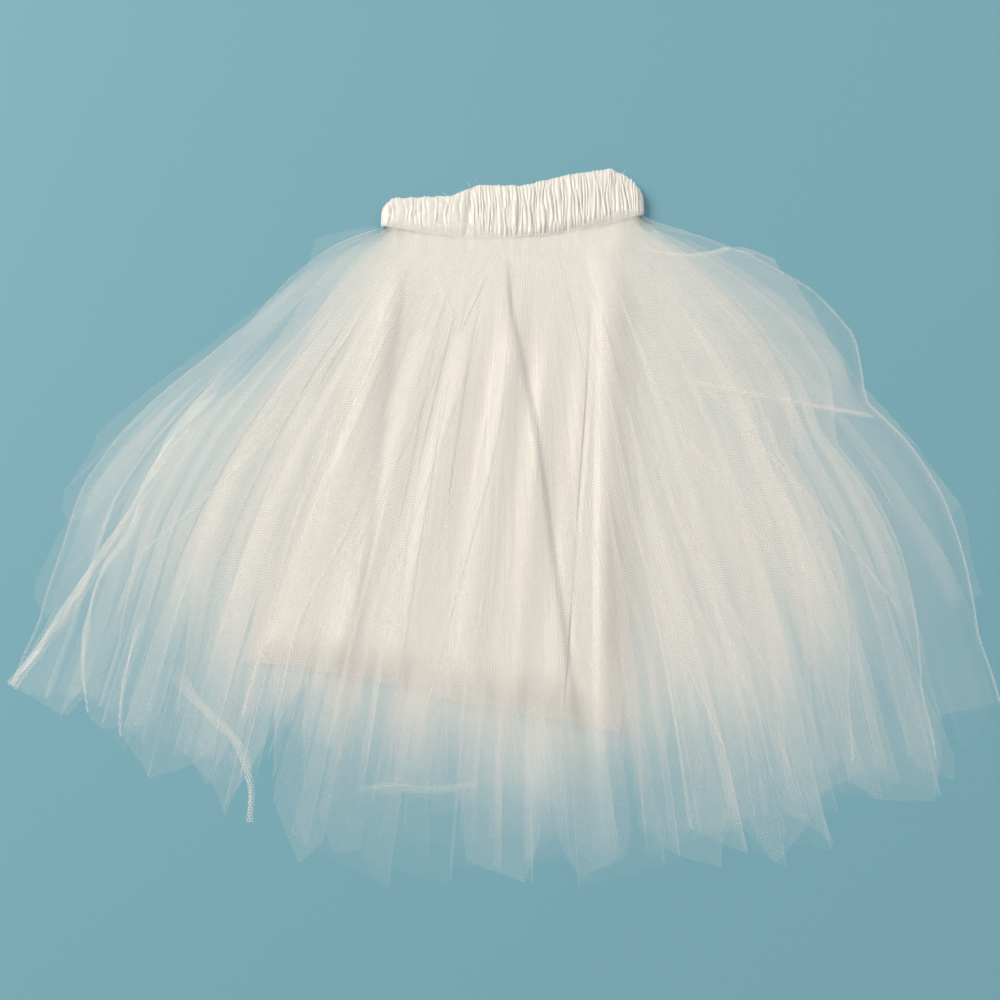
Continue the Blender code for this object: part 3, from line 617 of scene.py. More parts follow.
def sheet_grid(layer, sheet, rows, step):
    """One folded sheet of a tube as a grid, from its left side fold to its right one."""
    tube = TUBES[layer]
    rng = np.random.default_rng(tube["seed"] + 100 + (sheet == "back"))
    lines = fold_lines(layer, sheet) if tube["tucks"] else soft_folds(layer, sheet)
    angle, shift, reach, crest, start = lines.T
    full = np.radians(angle + shift)
    widths = np.abs(np.diff(full)) * (reach[1:] + reach[:-1]) / 2
    cloth = np.concatenate(([0.0], np.cumsum(widths)))
    first, share = line_columns(widths, step)
    along = np.linspace(0.0, 1.0, rows)[:, None]

    sides = np.minimum(cloth, cloth[-1] - cloth) / (0.15 * cloth[-1])
    drift = DRIFT * uneven(rng, cloth[None, :], along, DRIFT_WAVES)
    drift = drift + tube["sweep"] * uneven(rng, cloth[None, :], along, SWEEP_WAVES)
    drift = drift * np.clip(sides, 0, 1) * along * (1.6 - along)
    fade = smooth_ramp(along, start, start + FOLD_GROWTH)
    line_angle = angle + shift * fade + drift

    def between(values):
        return values[..., first] * (1 - share) + values[..., first + 1] * share

    line_angle = between(line_angle)
    hem = between(reach)[None, :]
    x, y = plan_points(layer, between(cloth / cloth[-1])[None, :], line_angle, hem, along)
    smooth = smooth_ramp(share, 0.0, 1.0)
    rise = crest[first] * (1 - smooth) + crest[first + 1] * smooth
    spread = between(cloth)[None, :]
    waves = RIPPLE_WAVES if tube["tucks"] else SATIN_RIPPLES
    ripple = uneven(rng, spread, along, waves) * smooth_ramp(along, 0.1, 0.6)
    calm = smooth_ramp(along, 0.0, 0.4)
    if sheet == "front":
        z = front_height(layer, x, y, MEAN_CREST + (rise[None, :] - MEAN_CREST) * calm)
        z = z + RIPPLE_HEIGHT * ripple * loft(x, y) + satin_relief(x, y)
    else:
        lift = BACK_LIFT * (rise - BACK_CREST + 0.3 * ripple)
        z = np.maximum(back_level(layer) + lift * smooth_ramp(along, 0.0, 0.1), FLOOR_CLEARANCE)
    distance = np.hypot(x - FAN_X, y - FAN_Y)
    line_share = np.minimum(share, 1 - share)
    return {
        "points": stacked(x, y, z),
        "veil": veil(layer, sheet, rng, spread, along, line_angle, line_share, distance),
        "presence": (satin_presence(spread, along, cloth[-1]) if layer == LINING
                     else net_presence(line_angle, distance)),
        "cloth": stacked(spread, along * hem),
        "turn": full[first[:-1]],
    }


def veil(layer, sheet, rng, spread, along, angle, line_share, distance):
    """Share of what lies behind that the plies beyond the first one hide."""
    gather = 1.0 / (WAIST_SHARE + (1.0 - WAIST_SHARE) * along) - 1.0
    streaks = STREAK_PLIES * np.maximum(uneven(rng, spread, along, STREAK_WAVES), 0.0)
    streaks = streaks * smooth_ramp(np.abs(angle), 8.0, 30.0) * smooth_ramp(along, 0.1, 0.5)
    clouds = CLOUD_SHARE * uneven(rng, spread, along, CLOUD_WAVES) * smooth_ramp(along, 0.0, 0.4)
    bunched = 1.0 - smooth_ramp(distance, *BUNCHING_END)
    plies = table_value(BUNCHING, angle) * (GATHER_PLIES * gather + bunched) * (1.0 + clouds)
    plies = plies + streaks * (0.25 + 0.75 * bunched)
    plies = plies + LINE_PLIES * (line_share < 1e-6) * smooth_ramp(along, 0.05, 0.5)
    if sheet == "front" and layer < 2:
        left, right = CENTRE
        thin = smooth_ramp(angle, left - CENTRE_FADE, left)
        thin = thin * smooth_ramp(-angle, -right - CENTRE_FADE, -right)
        plies = plies * (1 - CENTRE_THIN * thin * smooth_ramp(along, 0.05, 0.25))
    return ply_cover(np.maximum(plies, 0.0))


def net_presence(angle, distance):
    """Share of the full thread cover: the net lies more open at the sides and the hem."""
    return table_value(OPEN_SIDES, angle) * (1.0 - OPEN_HEM * smooth_ramp(distance, *OPEN_HEM_RAMP))


def satin_presence(spread, along, width):
    """How far the satin hides what lies behind it: its single-ply edges let some light through."""
    edge = np.minimum(spread, width - spread)
    thin = np.maximum(smooth_ramp(along, *SATIN_HEM), 1.0 - smooth_ramp(edge, 0.0, SATIN_SIDE))
    return 1.0 - SATIN_THIN * thin


def turn_grid(layer, grid, column, outward_sign):
    """The rounded side fold beside the first or last column of a front sheet."""
    x, y = grid["points"][:, column, 0], grid["points"][:, column, 1]
    line = np.stack((x, y), axis=1)
    ahead = unit(np.gradient(line, axis=0))
    square = np.stack((ahead[:, 1], -ahead[:, 0]), axis=1)
    square *= np.sign(square[:, :1] * outward_sign + 1e-9)
    blend = smooth_ramp(seam_distance(x, y), 0.0, EDGE_SQUARE)[:, None]
    outward = unit(np.array((outward_sign, 0.0)) * (1 - blend) + square * blend)
    radius = edge_rise(layer, x, y) / 2
    columns = []
    for degrees in (0.0, *TURN_DEGREES, 180.0):
        turn = math.radians(degrees)
        plan = line + outward * (radius * math.sin(turn))[:, None]
        columns.append(np.column_stack((plan, back_level(layer) + radius * (1 + math.cos(turn)))))
    points = np.stack(columns, axis=1)
    if outward_sign < 0:
        points = points[:, ::-1]
    rows, count = points.shape[:2]
    return {
        "points": points,
        "veil": np.full((rows, count), PLY_COVER),
        "cloth": stacked(np.arange(count)[None, :] * 0.0015, grid["cloth"][:, :1, 1]),
        "turn": np.full(count - 1, math.radians(TUBES[layer]["right"][0] * outward_sign)),
        "presence": 1.0 - SATIN_THIN if layer == LINING else 1.0,
    }


def reversed_grid(grid):
    """The same grid facing the other way."""
    turned = dict(grid)
    for key in ("points", "veil", "cloth"):
        turned[key] = grid[key][:, ::-1]
    turned["turn"] = grid["turn"][::-1]
    return turned


def tube_grids(layer, rows, step=FRONT_STEP):
    """The four grids of a tube: front sheet, back sheet and the two side folds."""
    front = sheet_grid(layer, "front", rows, step)
    back = sheet_grid(layer, "back", rows, BACK_STEP)
    right, left = turn_grid(layer, front, -1, 1.0), turn_grid(layer, front, 0, -1.0)
    return [front, reversed_grid(back), right, left]


# ---- Loose flaps, ropes and panels of the outer net ----
def smooth_curve(corners, count):
    """A smooth curve through plan points, evenly stepped."""
    knots = np.array(corners)
    gone = np.concatenate(([0.0], np.cumsum(np.linalg.norm(np.diff(knots, axis=0), axis=1))))
    slopes = np.gradient(knots, gone, axis=0)
    place = np.linspace(0.0, gone[-1], count)
    index = np.clip(np.searchsorted(gone, place) - 1, 0, len(gone) - 2)
    width = (gone[index + 1] - gone[index])[:, None]
    t = (place - gone[index])[:, None] / width
    start, end = knots[index], knots[index + 1]
    return (start * (1 + 2 * t) * (1 - t) ** 2 + end * t * t * (3 - 2 * t)
            + width * (slopes[index] * t * (1 - t) ** 2 - slopes[index + 1] * t * t * (1 - t)))


def loose_grid(x, y, lift, plies, spread, down, turn, presence, threads=1.0):
    """A grid of loose net that lies on the outer sheet, from plan positions and a lift. presence
    is how far it shows at all, and threads the share of its threads that shows."""
    return {
        "points": stacked(x, y, front_height(0, x, y, LOOSE_BED) + satin_relief(x, y) + lift),
        "veil": ply_cover(np.broadcast_to(plies, x.shape)) * presence,
        "presence": presence * threads,
        "cloth": stacked(spread, down),
        "turn": turn,
    }


def flap_grid(number, start, end, bow, plies, emerge, corners):
    """A flap from the waist seam out to a ragged stretch of hem."""
    rng = np.random.default_rng(FLAP_SEED + number)
    corners = np.array(corners)
    hem = np.stack(fan_point(corners[:, 0], corners[:, 1]), axis=1)
    widths = np.linalg.norm(np.diff(hem, axis=0), axis=1)
    gone = np.concatenate(([0.0], np.cumsum(widths)))
    count = max(8, round(gone[-1] / FRONT_STEP))
    spread = np.sort(np.concatenate((np.linspace(0.0, gone[-1], count),
                                     (LINE_MARGIN, gone[-1] - LINE_MARGIN))))
    end_x, end_y = np.interp(spread, gone, hem[:, 0]), np.interp(spread, gone, hem[:, 1])
    share = (spread / gone[-1])[None, :]
    start_x = WAIST_LEFT + (WAIST_RIGHT - WAIST_LEFT) * (start + (end - start) * share)
    start_y = seam_y(start_x) - SEAM_GAP
    along = np.linspace(emerge, 1.0, round(NET_ROWS * (1.0 - emerge)))[:, None]
    chord_x, chord_y = end_x - start_x, end_y - start_y
    outward = np.sign(chord_x.mean())
    bulge = bow * outward * 4 * along * (1 - along)
    bulge = bulge + FLAP_WANDER * uneven(rng, share, along, FLAP_WANDER_WAVES) * along
    x = start_x + chord_x * along - chord_y * bulge
    y = start_y + chord_y * along + chord_x * bulge
    ripple = uneven(rng, spread[None, :], along, RIPPLE_WAVES)
    lift = LOOSE_LIFT + RIPPLE_HEIGHT * (0.6 + 0.6 * ripple) * along
    edge = np.minimum(spread, gone[-1] - spread)[None, :]
    layers = 0.5 * (plies - 1) + LINE_PLIES * (edge < LINE_MARGIN / 2) + 0.3 * np.maximum(ripple, 0)
    layers = layers + 0.5 * GATHER_PLIES * (1.0 / (0.3 + 0.7 * along) - 1.0)
    return loose_grid(x, y, lift, layers, spread[None, :], along * np.hypot(chord_x, chord_y),
                      np.full(len(spread) - 1, math.radians(corners[:, 0].mean() * 0.8)),
                      FLAP_COVER * smooth_ramp(along, emerge, emerge + 0.30) + 0.0 * x)


def rope_grid(number, widths, plies, path):
    """A narrow bunch of folds along a path, as where an edge of net has rolled up."""
    rng = np.random.default_rng(ROPE_SEED + number)
    centre = smooth_curve(path, 8 * len(path))
    length = np.linalg.norm(np.diff(centre, axis=0), axis=1).sum()
    ahead = unit(np.gradient(centre, axis=0))
    beside = np.stack((ahead[:, 1], -ahead[:, 0]), axis=1)
    along = np.linspace(0.0, 1.0, len(centre))[:, None]
    width = np.interp(along, (0.0, 0.5, 1.0), widths)
    width = width * (1 + ROPE_UNEVEN * uneven(rng, 3.0, along * 2, (0.9, 1.7)))
    lanes, shares = ROPE_LANES[None, :, 0], ROPE_LANES[None, :, 1]
    tangle = uneven(rng, lanes * 3 + 7, along * length / 0.04, (1.3, 2.9))
    offsets = lanes + ROPE_TANGLE * tangle
    x = centre[:, :1] + beside[:, :1] * offsets * width / 2
    y = centre[:, 1:] + beside[:, 1:] * offsets * width / 2
    order = np.arange(lanes.shape[1])[None, :]
    round_top = 1 - np.clip(np.abs(offsets), 0, 1) ** 2
    lift = UPPER_LIFT + ROPE_LIFT * width * round_top + LOOSE_LIFT * (order / lanes.shape[1])
    shown = smooth_ramp(along, 0.0, 0.3) + 0.0 * offsets
    dense = 0.75 + 0.75 * uneven(rng, lanes * 4 + 5, along * 3, (0.7, 1.1, 2.3))
    layers = ROPE_PLIES * plies * shares * np.maximum(dense, 0.05)
    turn = np.full(lanes.shape[1] - 1, 0.6 + number)
    return loose_grid(x, y, lift * (0.3 + 0.7 * shown), layers, order * ROPE_SPREAD, along * length,
                      turn, shown, min(1.6 * plies, 1.0))


def panel_grid(number, plies, fades, first_edge, second_edge):
    """A puffed panel between two edges that run away from the waist."""
    rng = np.random.default_rng(PANEL_SEED + number)
    one, two = smooth_curve(first_edge, PANEL_ROWS), smooth_curve(second_edge, PANEL_ROWS)
    share = np.linspace(0.0, 1.0, PANEL_COLUMNS)[None, :, None]
    plan = one[:, None] * (1 - share) + two[:, None] * share
    along = np.linspace(0.0, 1.0, PANEL_ROWS)[:, None]
    across = share[..., 0]
    spread = across * np.linalg.norm(two[PANEL_ROWS // 2] - one[PANEL_ROWS // 2])
    ripple = uneven(rng, spread, along, PANEL_RIPPLE_WAVES)
    lift = UPPER_LIFT + PANEL_RIPPLE * (1 + ripple) * np.sin(math.pi * across) ** 0.5
    if fades:
        shown = (np.sin(math.pi * across) * np.sin(math.pi * np.clip(along + 0.12, 0, 1))) ** 1.2
        layers = plies * shown * (1 + 0.3 * ripple)
    else:
        shown = 1.0 + 0.0 * ripple
        layers = plies + 1.2 * ((across < 0.02) | (across > 0.98)) + 0.4 * ripple
    return loose_grid(plan[..., 0], plan[..., 1], lift, np.maximum(layers, 0.0), spread,
                      along * 0.2, np.full(PANEL_COLUMNS - 1, 0.3), shown,
                      PANEL_THREADS if fades else 1.0)


def heading_grid():
    """The gathered top of the outer net, which puffs up a little way over the band."""
    rng = np.random.default_rng(HEADING_SEED)
    across = np.linspace(0.0, 1.0, HEADING_COLUMNS)[None, :]
    x = WAIST_LEFT - HEADING_OVERHANG + (WAIST_RIGHT - WAIST_LEFT + 2 * HEADING_OVERHANG) * across
    high = table_value(HEADING, x) + 0.0007 * uneven(rng, x, 0.0, (0.006, 0.013, 0.027))
    up = np.linspace(0.0, 1.0, HEADING_ROWS)[:, None]
    over = HEADING_START + (high - HEADING_START) * up
    y = seam_y(x) + over
    on_net = front_height(0, x, np.minimum(y, seam_y(x) - SEAM_GAP), 0.6) + LOOSE_LIFT
    on_band = band_front(x, np.clip(over / (band_top(x) - seam_y(x)), 0.0, 1.0)) + HEADING_CLEARANCE
    blend = smooth_ramp(over, -0.006, 0.001)
    puff = HEADING_PUFF * np.sin(math.pi * np.clip(over / np.maximum(high, 0.002), 0.0, 1.0))
    puff = HEADING_LUMP * uneven(rng, x, up * 0.4, HEADING_LUMP_WAVES) + puff
    plies = HEADING_PLIES * smooth_ramp(up, 0.0, 0.70) * (1.0 - 0.55 * smooth_ramp(up, 0.90, 1.0))
    plies = plies * (1.0 + 0.30 * uneven(rng, x, up * 0.5, (0.017, 0.043)))
    ends = smooth_ramp(np.minimum(across, 1.0 - across), 0.0, 0.06)
    return {
        "points": stacked(x, y, on_net * (1 - blend) + on_band * blend + puff),
        "veil": ply_cover(np.maximum(plies * ends, 0.0)),
        "presence": HEADING_THREADS * smooth_ramp(up, 0.0, 0.5) * ends,
        "cloth": stacked(across * 0.10, up * 0.04),
        "turn": np.zeros(HEADING_COLUMNS - 1),
        "upright": HEADING_UPRIGHT,
    }


def loose_grids():
    grids = [flap_grid(number, *row) for number, row in enumerate(FLAPS)]
    for number, (start, middle, end, plies, path) in enumerate(ROPES):
        grids.append(rope_grid(number, (start, middle, end), plies, path))
    grids += [panel_grid(number, *row) for number, row in enumerate(PANELS)]
    return grids + [heading_grid()]


# ---- Waistband ----
def band_top(x):
    return table_value(BAND_SECTIONS, x)


def band_front(x, row):
    """Height of the band's front wall without its ribs; row runs from the seam (0) to the top (1)."""
    edge = np.abs(2 * row - 1) ** 6
    return STACK_HEIGHT - BAND_EDGE_DROP * edge + table_value(BAND_SECTIONS, x, 2) * (1 - edge)


def rib_columns(rng, rows):
    """Plan x and height share of the ribs' columns, for each row of the band."""
    edges = [WAIST_LEFT]
    while edges[-1] < WAIST_RIGHT:
        pitch = RIB_PITCH_LEFT if edges[-1] < RIB_CHANGE else RIB_PITCH_RIGHT
        edges.append(edges[-1] + pitch * rng.uniform(0.6, 1.45))
    edges = np.array(edges)
    edges = WAIST_LEFT + (edges - WAIST_LEFT) * (WAIST_RIGHT - WAIST_LEFT) / (edges[-1] - WAIST_LEFT)
    up = np.linspace(0.0, 1.0, rows)[:, None]
    pitch = np.gradient(edges)
    lean = RIB_LEAN * uneven(rng, edges[None, :], up * 1.4, RIB_LEAN_WAVES)
    lean[:, (0, -1)] = 0.0
    bounds = edges[None, :] + lean * pitch[None, :]
    ribs = len(edges) - 1
    strength = rng.uniform(0.45, 1.0, ribs)
    strength = strength * np.where(rng.random(ribs) < STRONG_RIBS, STRONG_RIB, 1.0)
    change = 1 + 0.45 * uneven(rng, np.arange(ribs)[None, :] * 1.0, up * 2.0, RIB_CHANGES)
    rib = np.repeat(np.arange(ribs), len(RIB_SHARES))
    share = np.tile(RIB_SHARES, ribs)
    rib, share = np.append(rib, ribs - 1), np.append(share, 1.0)
    x = bounds[:, rib] * (1 - share) + bounds[:, rib + 1] * share
    height = strength * np.clip(change, RIB_LEAST, RIB_MOST)
    rise = height[:, rib] * np.sin(math.pi * share) ** 0.65
    return x, rise, up


def thread_grid(start_x, start_rise, reach_x, reach_y, sag):
    """One frayed thread that stands out of the band's top edge."""
    along = np.linspace(0.0, 1.0, 12)[:, None]
    around = np.radians(np.linspace(0.0, 360.0, 6))[None, :]
    radius = THREAD_RADIUS * (1.0 - 0.5 * along)
    x = start_x + reach_x * along + sag * np.sin(math.pi * along)
    y = band_top(start_x) - THREAD_ROOT + (THREAD_ROOT + reach_y) * along + radius * np.cos(around)
    z = STACK_HEIGHT * 0.75 + start_rise * along + radius * np.sin(around)
    return {"points": stacked(x, y, z), "veil": 1.0, "turn": np.zeros(5),
            "cloth": stacked(around * 0.001, along * 0.01)}


def build_waistband():
    """The ruched casing: ribs across the front, a quieter back, and a rolled top edge."""
    rng = np.random.default_rng(BAND_SEED)
    middle = STACK_HEIGHT / 2
    x, rise, up = rib_columns(rng, BAND_ROWS)
    edge = np.abs(2 * up - 1) ** 6
    dents = uneven(rng, x + 0.35, up * 3.0, DENT_WAVES) * DENT_HEIGHT
    crinkle = uneven(rng, x + 0.004 * up, up, CRINKLES) * np.where(x < RIB_CHANGE, 0.5, 1.0)
    pucker = uneven(rng, x, up * 2.0, PUCKERS) * smooth_ramp(x, -0.020, 0.0)
    pucker = pucker * np.exp(-((up - PUCKER_ROW) / PUCKER_REACH) ** 2)
    fold = FOLD_DEPTH * np.exp(-((x - FOLD_X - FOLD_LEAN * up) / FOLD_WIDTH) ** 2)
    ribs = (1.10 * rise + 0.75 * crinkle + 0.6 * pucker) * (1 - 0.5 * edge) - 0.35
    front = band_front(x, up) + table_value(BAND_SECTIONS, x, 3) * ribs + dents - fold
    back_x, back_rise, _ = rib_columns(rng, BAND_ROWS)
    back = BACK_RIB_HEIGHT * (1 - back_rise / RIB_MOST) * (1 - edge)
    back = FLOOR_CLEARANCE + back + BAND_EDGE_DROP * edge
    radius = middle - BAND_EDGE_DROP * edge[:, 0]
    turns = [math.radians(degrees) for degrees in TURN_DEGREES]
    out = np.stack([radius * math.sin(turn) for turn in turns], axis=1)
    height = np.stack([middle + radius * math.cos(turn) for turn in turns], axis=1)
    ring_x = np.hstack((x, WAIST_RIGHT + out, back_x[:, ::-1], WAIST_LEFT - out[:, ::-1], x[:, :1]))
    ring_z = np.hstack((front, height, back[:, ::-1], height[:, ::-1], front[:, :1]))
    low = seam_y(ring_x)
    frill = FRILL_HEIGHT * uneven(rng, ring_x + 0.4, 0.0, FRILL_WAVES) * up ** 6
    ring_y = low + (band_top(ring_x) - low) * up + frill
    for share, climb in BAND_CAP:
        ring_x = np.vstack((ring_x, ring_x[BAND_ROWS - 1]))
        ring_y = np.vstack((ring_y, ring_y[BAND_ROWS - 1] + climb))
        ring_z = np.vstack((ring_z, middle + (ring_z[BAND_ROWS - 1] - middle) * share))
    points = stacked(ring_x, ring_y, ring_z)[::-1]
    rows, columns = points.shape[:2]
    cloth = stacked(np.arange(columns)[None, :] * 0.0008, np.arange(rows)[:, None] * 0.0016)
    grid = {"points": points, "veil": 1.0, "turn": np.zeros(columns - 1), "cloth": cloth}
    threads = [thread_grid(*row) for row in THREADS]
    piece = mesh_from_grids("ruched_waistband", [grid] + threads)
    piece.data.materials.append(satin_material("waistband_satin", BAND_COLOUR, BAND_ROUGHNESS))
    declare(piece, "waistband")


# ---- Meshes ----
def face_corners(values):
    """Values at the four corners of each face of a grid, in the order of its loops."""
    return np.stack((values[:-1, :-1], values[1:, :-1], values[1:, 1:], values[:-1, 1:]), axis=2)


def corner_normals(points, upright):
    """Smooth normals at the face corners, turned towards straight up by the share upright."""
    normal = unit(np.cross(points[1:, 1:] - points[:-1, :-1], points[:-1, 1:] - points[1:, :-1]))
    facing = np.where(normal[..., 2:] >= 0, 1.0, -1.0)
    padded = np.pad(normal * facing, ((1, 1), (1, 1), (0, 0)), mode="edge")
    smooth = unit(padded[:-1, :-1] + padded[1:, :-1] + padded[:-1, 1:] + padded[1:, 1:])
    smooth = unit(smooth * (1 - upright) + np.array((0.0, 0.0, upright)))
    return face_corners(smooth) * facing[:, :, None]


def mesh_from_grids(name, grids, upright=0.0):
    """One mesh from several grids, with a net map, a cloth map, and each point's veil and
    presence."""
    points, quads, normals, net, cloth, cover, presence = [], [], [], [], [], [], []
    for grid in grids:
        place = grid["points"]
        rows, columns = place.shape[:2]
        index = np.arange(rows * columns).reshape(rows, columns) + sum(len(p) for p in points)
        points.append(place.reshape(-1, 3))
        quads.append(face_corners(index).reshape(-1, 4))
        normals.append(corner_normals(place, grid.get("upright", upright)).reshape(-1, 3))
        flat = face_corners(place[..., :2])
        cos, sin = np.cos(grid["turn"])[None, :, None], np.sin(grid["turn"])[None, :, None]
        net.append(np.stack((flat[..., 0] * cos + flat[..., 1] * sin,
                             flat[..., 1] * cos - flat[..., 0] * sin), axis=-1).reshape(-1, 2))
        cloth.append(face_corners(grid["cloth"]).reshape(-1, 2))
        cover.append(np.broadcast_to(grid["veil"], (rows, columns)).reshape(-1))
        presence.append(np.broadcast_to(grid.get("presence", 1.0), (rows, columns)).reshape(-1))
    mesh = bpy.data.meshes.new(name)
    mesh.from_pydata(np.concatenate(points).tolist(), [], np.concatenate(quads).tolist())
    for label, parts in (("net", net), ("cloth", cloth)):
        layer = mesh.uv_layers.new(name=label)
        layer.data.foreach_set("uv", np.concatenate(parts).reshape(-1).astype(np.float32))
    for label, parts in (("veil", cover), ("presence", presence)):
        attribute = mesh.attributes.new(label, "FLOAT", "POINT")
        attribute.data.foreach_set("value", np.concatenate(parts).astype(np.float32))
    mesh.shade_smooth()
    mesh.normals_split_custom_set(np.concatenate(normals).tolist())
    return link(name, mesh)


# ---- Materials ----
class Nodes:
    """Short helpers for writing a node tree."""

    def __init__(self, name):
        self.material = bpy.data.materials.new(name)
        self.material.use_nodes = True
        self.tree = self.material.node_tree
        self.shader = self.tree.nodes["Principled BSDF"]

    def node(self, kind, **settings):
        made = self.tree.nodes.new(kind)
        for key, value in settings.items():
            setattr(made, key, value)
        return made

    def feed(self, socket, value):
        if isinstance(value, bpy.types.NodeSocket):
            self.tree.links.new(value, socket)
        else:
            socket.default_value = value

    def maths(self, operation, *values, clamp=False):
        made = self.node("ShaderNodeMath", operation=operation, use_clamp=clamp)
        for socket, value in zip(made.inputs, values):
            self.feed(socket, value)
        return made.outputs[0]

    def field(self, name):
        return self.node("ShaderNodeAttribute", attribute_name=name).outputs["Fac"]

    def vector(self, operation, *values):
        made = self.node("ShaderNodeVectorMath", operation=operation)
        for socket, value in zip(made.inputs, values):
            self.feed(socket, value)
        return made.outputs["Value" if operation == "DOT_PRODUCT" else "Vector"]

    def noise(self, coordinates, scale, detail, roughness=0.5):
        made = self.node("ShaderNodeTexNoise")
        self.feed(made.inputs["Vector"], self.vector("MULTIPLY", coordinates, scale))
        made.inputs["Scale"].default_value = 1.0
        made.inputs["Detail"].default_value = detail
        made.inputs["Roughness"].default_value = roughness
        return made.outputs["Fac"]

    def tint(self, factor, colour, darkest, lightest):
        """Base colour that varies between a darker and a lighter one."""
        made = self.node("ShaderNodeMix", data_type="RGBA")
        self.feed(made.inputs["Factor"], factor)
        for socket, share in ((made.inputs[6], darkest), (made.inputs[7], lightest)):
            socket.default_value = (*[min(part * share, 1.0) for part in colour], 1.0)
        self.feed(self.shader.inputs["Base Color"], made.outputs[2])

    def bump(self, height, strength, distance):
        made = self.node("ShaderNodeBump")
        made.inputs["Strength"].default_value = strength
        made.inputs["Distance"].default_value = distance
        self.feed(made.inputs["Height"], height)
        self.feed(self.shader.inputs["Normal"], made.outputs[0])

    def finish(self, roughness, specular, sheen):
        inputs = self.shader.inputs
        inputs["Roughness"].default_value = roughness
        inputs["Specular IOR Level"].default_value = specular
        inputs["Sheen Weight"].default_value = sheen


def net_material(name, colour, cover):
    """Hexagonal net: three crossed waves make the threads, and the veil fills the holes."""
    nodes = Nodes(name)
    net = nodes.node("ShaderNodeUVMap", uv_map="net").outputs[0]
    cloth = nodes.node("ShaderNodeUVMap", uv_map="cloth").outputs[0]
    wave_number = 2 * math.pi / NET_PITCH
    waves = []
    for degrees in (0.0, 60.0, 120.0):
        turn = math.radians(degrees)
        along = (wave_number * math.cos(turn), wave_number * math.sin(turn), 0.0)
        waves.append(nodes.maths("COSINE", nodes.vector("DOT_PRODUCT", net, along)))
    total = nodes.maths("ADD", nodes.maths("ADD", waves[0], waves[1]), waves[2])
    thread = nodes.maths("MULTIPLY_ADD", total, THREAD_SLOPE, THREAD_OFFSET, clamp=True)
    thread = nodes.maths("MULTIPLY_ADD", thread, cover - HOLE_COVER, HOLE_COVER)
    shown = nodes.maths("MULTIPLY", thread, nodes.field("presence"))
    open_share = nodes.maths("SUBTRACT", 1.0, shown)
    streaks = nodes.noise(cloth, STREAK_SCALE, 2.0, 0.6)
    uneven_plies = nodes.maths("MULTIPLY_ADD", streaks, STREAK_RANGE, STREAK_LEAST)
    hidden = nodes.maths("MULTIPLY", nodes.field("veil"), uneven_plies)
    behind = nodes.maths("SUBTRACT", 1.0, hidden, clamp=True)
    alpha = nodes.maths("SUBTRACT", 1.0, nodes.maths("MULTIPLY", open_share, behind), clamp=True)
    nodes.feed(nodes.shader.inputs["Alpha"], alpha)
    nodes.tint(streaks, colour, 0.97, 1.03)
    nodes.finish(*NET_GLOSS)
    return nodes.material


def satin_material(name, colour, roughness):
    """Satin: a fine twill of long floats, soft creases and a slightly uneven dye."""
    nodes = Nodes(name)
    where = nodes.node("ShaderNodeTexCoord").outputs["Object"]
    nodes.tint(nodes.noise(where, CLOUD_SCALE, 3.0), colour, 0.95, 1.04)
    floats = nodes.noise(where, TWILL_SCALE, 1.0)
    creases = nodes.noise(where, CREASE_SCALE, 2.0)
    height = nodes.maths("ADD", nodes.maths("MULTIPLY", floats, TWILL_SHARE), creases)
    nodes.bump(height, SATIN_BUMP, SATIN_BUMP_DISTANCE)
    nodes.feed(nodes.shader.inputs["Alpha"], nodes.field("presence"))
    nodes.finish(roughness, SATIN_SPECULAR, SATIN_SHEEN)
    return nodes.material


# ---- Pieces ----
def declare(piece, node):
    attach(piece, "root")
    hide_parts(node)


def build_tulle():
    for layer, (name, colour, cover) in enumerate(NETS):
        grids = tube_grids(layer, NET_ROWS)
        if layer == 0:
            grids += loose_grids()
        piece = mesh_from_grids(name, grids, UPRIGHT)
        piece.data.materials.append(net_material(name, colour, cover))
        piece.visible_shadow = False
        piece.visible_diffuse = False
        declare(piece, TUBES[layer]["node"])


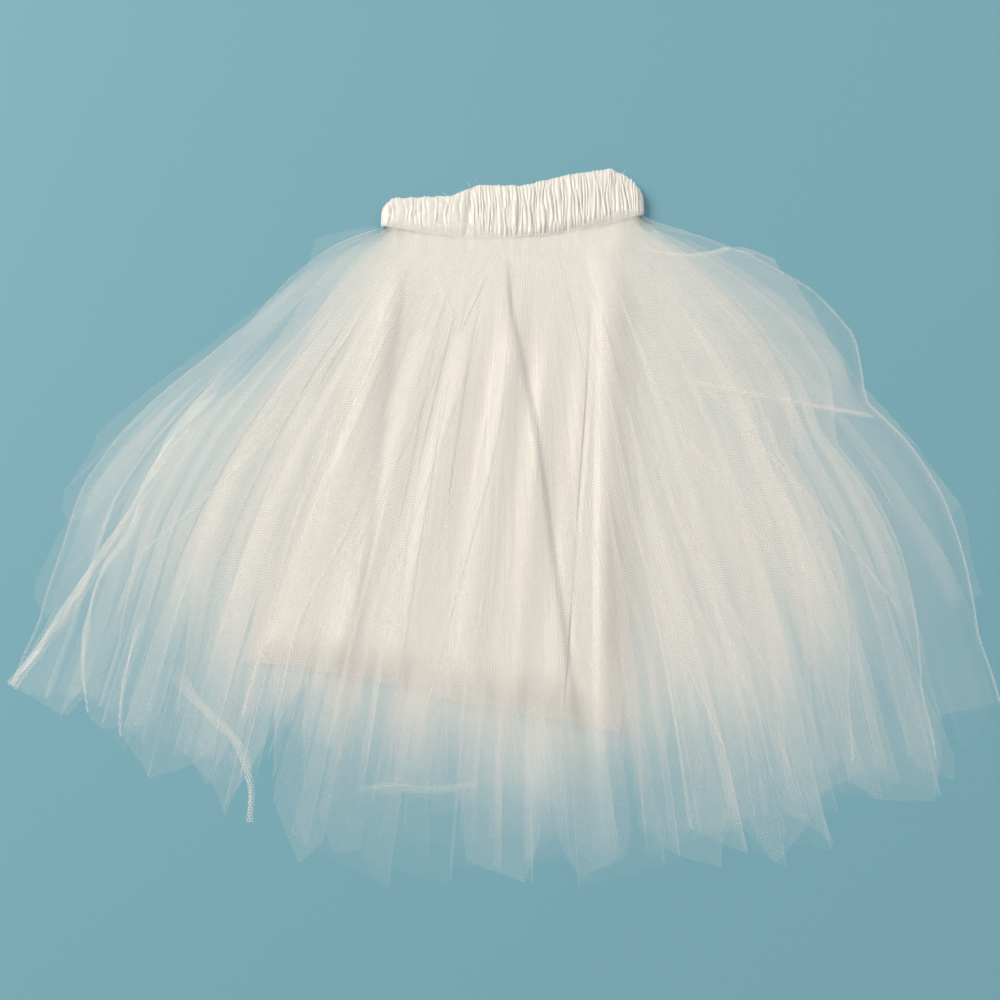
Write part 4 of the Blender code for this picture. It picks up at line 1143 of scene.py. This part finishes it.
def build_lining():
    piece = mesh_from_grids("lining_skirt", tube_grids(LINING, LINING_ROWS, SATIN_STEP))
    piece.data.materials.append(satin_material("lining_satin", LINING_COLOUR, LINING_ROUGHNESS))
    declare(piece, "lining")


def build_stage():
    bpy.ops.mesh.primitive_plane_add(size=FLOOR_SIZE, location=(0.0, 0.0, -FLOOR_CLEARANCE))
    floor = bpy.context.object
    floor.name = "floor"
    nodes = Nodes("floor")
    nodes.shader.inputs["Base Color"].default_value = FLOOR_COLOUR
    nodes.shader.inputs["Roughness"].default_value = FLOOR_ROUGHNESS
    floor.data.materials.append(nodes.material)
    world = bpy.data.worlds.new("soft")
    bpy.context.scene.world = world
    world.use_nodes = True
    world.node_tree.nodes["Background"].inputs[0].default_value = WORLD_COLOUR
    world.node_tree.nodes["Background"].inputs[1].default_value = WORLD_STRENGTH
    for name, place, size, power, colour in LIGHTS:
        light = bpy.data.lights.new(name, "AREA")
        light.size = size
        light.energy = power
        light.color = colour
        lamp = link(name, light)
        lamp.location = place
        aim(lamp, (0.0, 0.0, 0.0))


def aim(thing, target):
    direction = np.array(target) - np.array(thing.location)
    flat = math.hypot(direction[0], direction[1])
    thing.rotation_euler = (math.pi / 2 + math.atan2(direction[2], flat), 0.0,
                            math.atan2(-direction[0], direction[1]))


def build_camera():
    lens = bpy.data.cameras.new("camera")
    lens.lens = CAMERA_FOCAL
    lens.sensor_width = 36.0
    lens.clip_start = 0.01
    camera = link("camera", lens)
    tilt = math.radians(CAMERA_ELEVATION)
    camera.location = (CAMERA_TARGET[0], CAMERA_TARGET[1] - CAMERA_DISTANCE * math.cos(tilt),
                       CAMERA_DISTANCE * math.sin(tilt))
    camera.rotation_euler = (math.pi / 2 - tilt, 0.0, 0.0)
    bpy.context.scene.camera = camera


build_camera()
build_stage()
build_tulle()
build_lining()
build_waistband()
scene = bpy.context.scene
scene.view_settings.view_transform = "Standard"
scene.cycles.transparent_max_bounces = 32
scene.cycles.max_bounces = 4
scene.cycles.diffuse_bounces = 2
scene.cycles.adaptive_threshold = 0.16
scene.cycles.use_light_tree = False
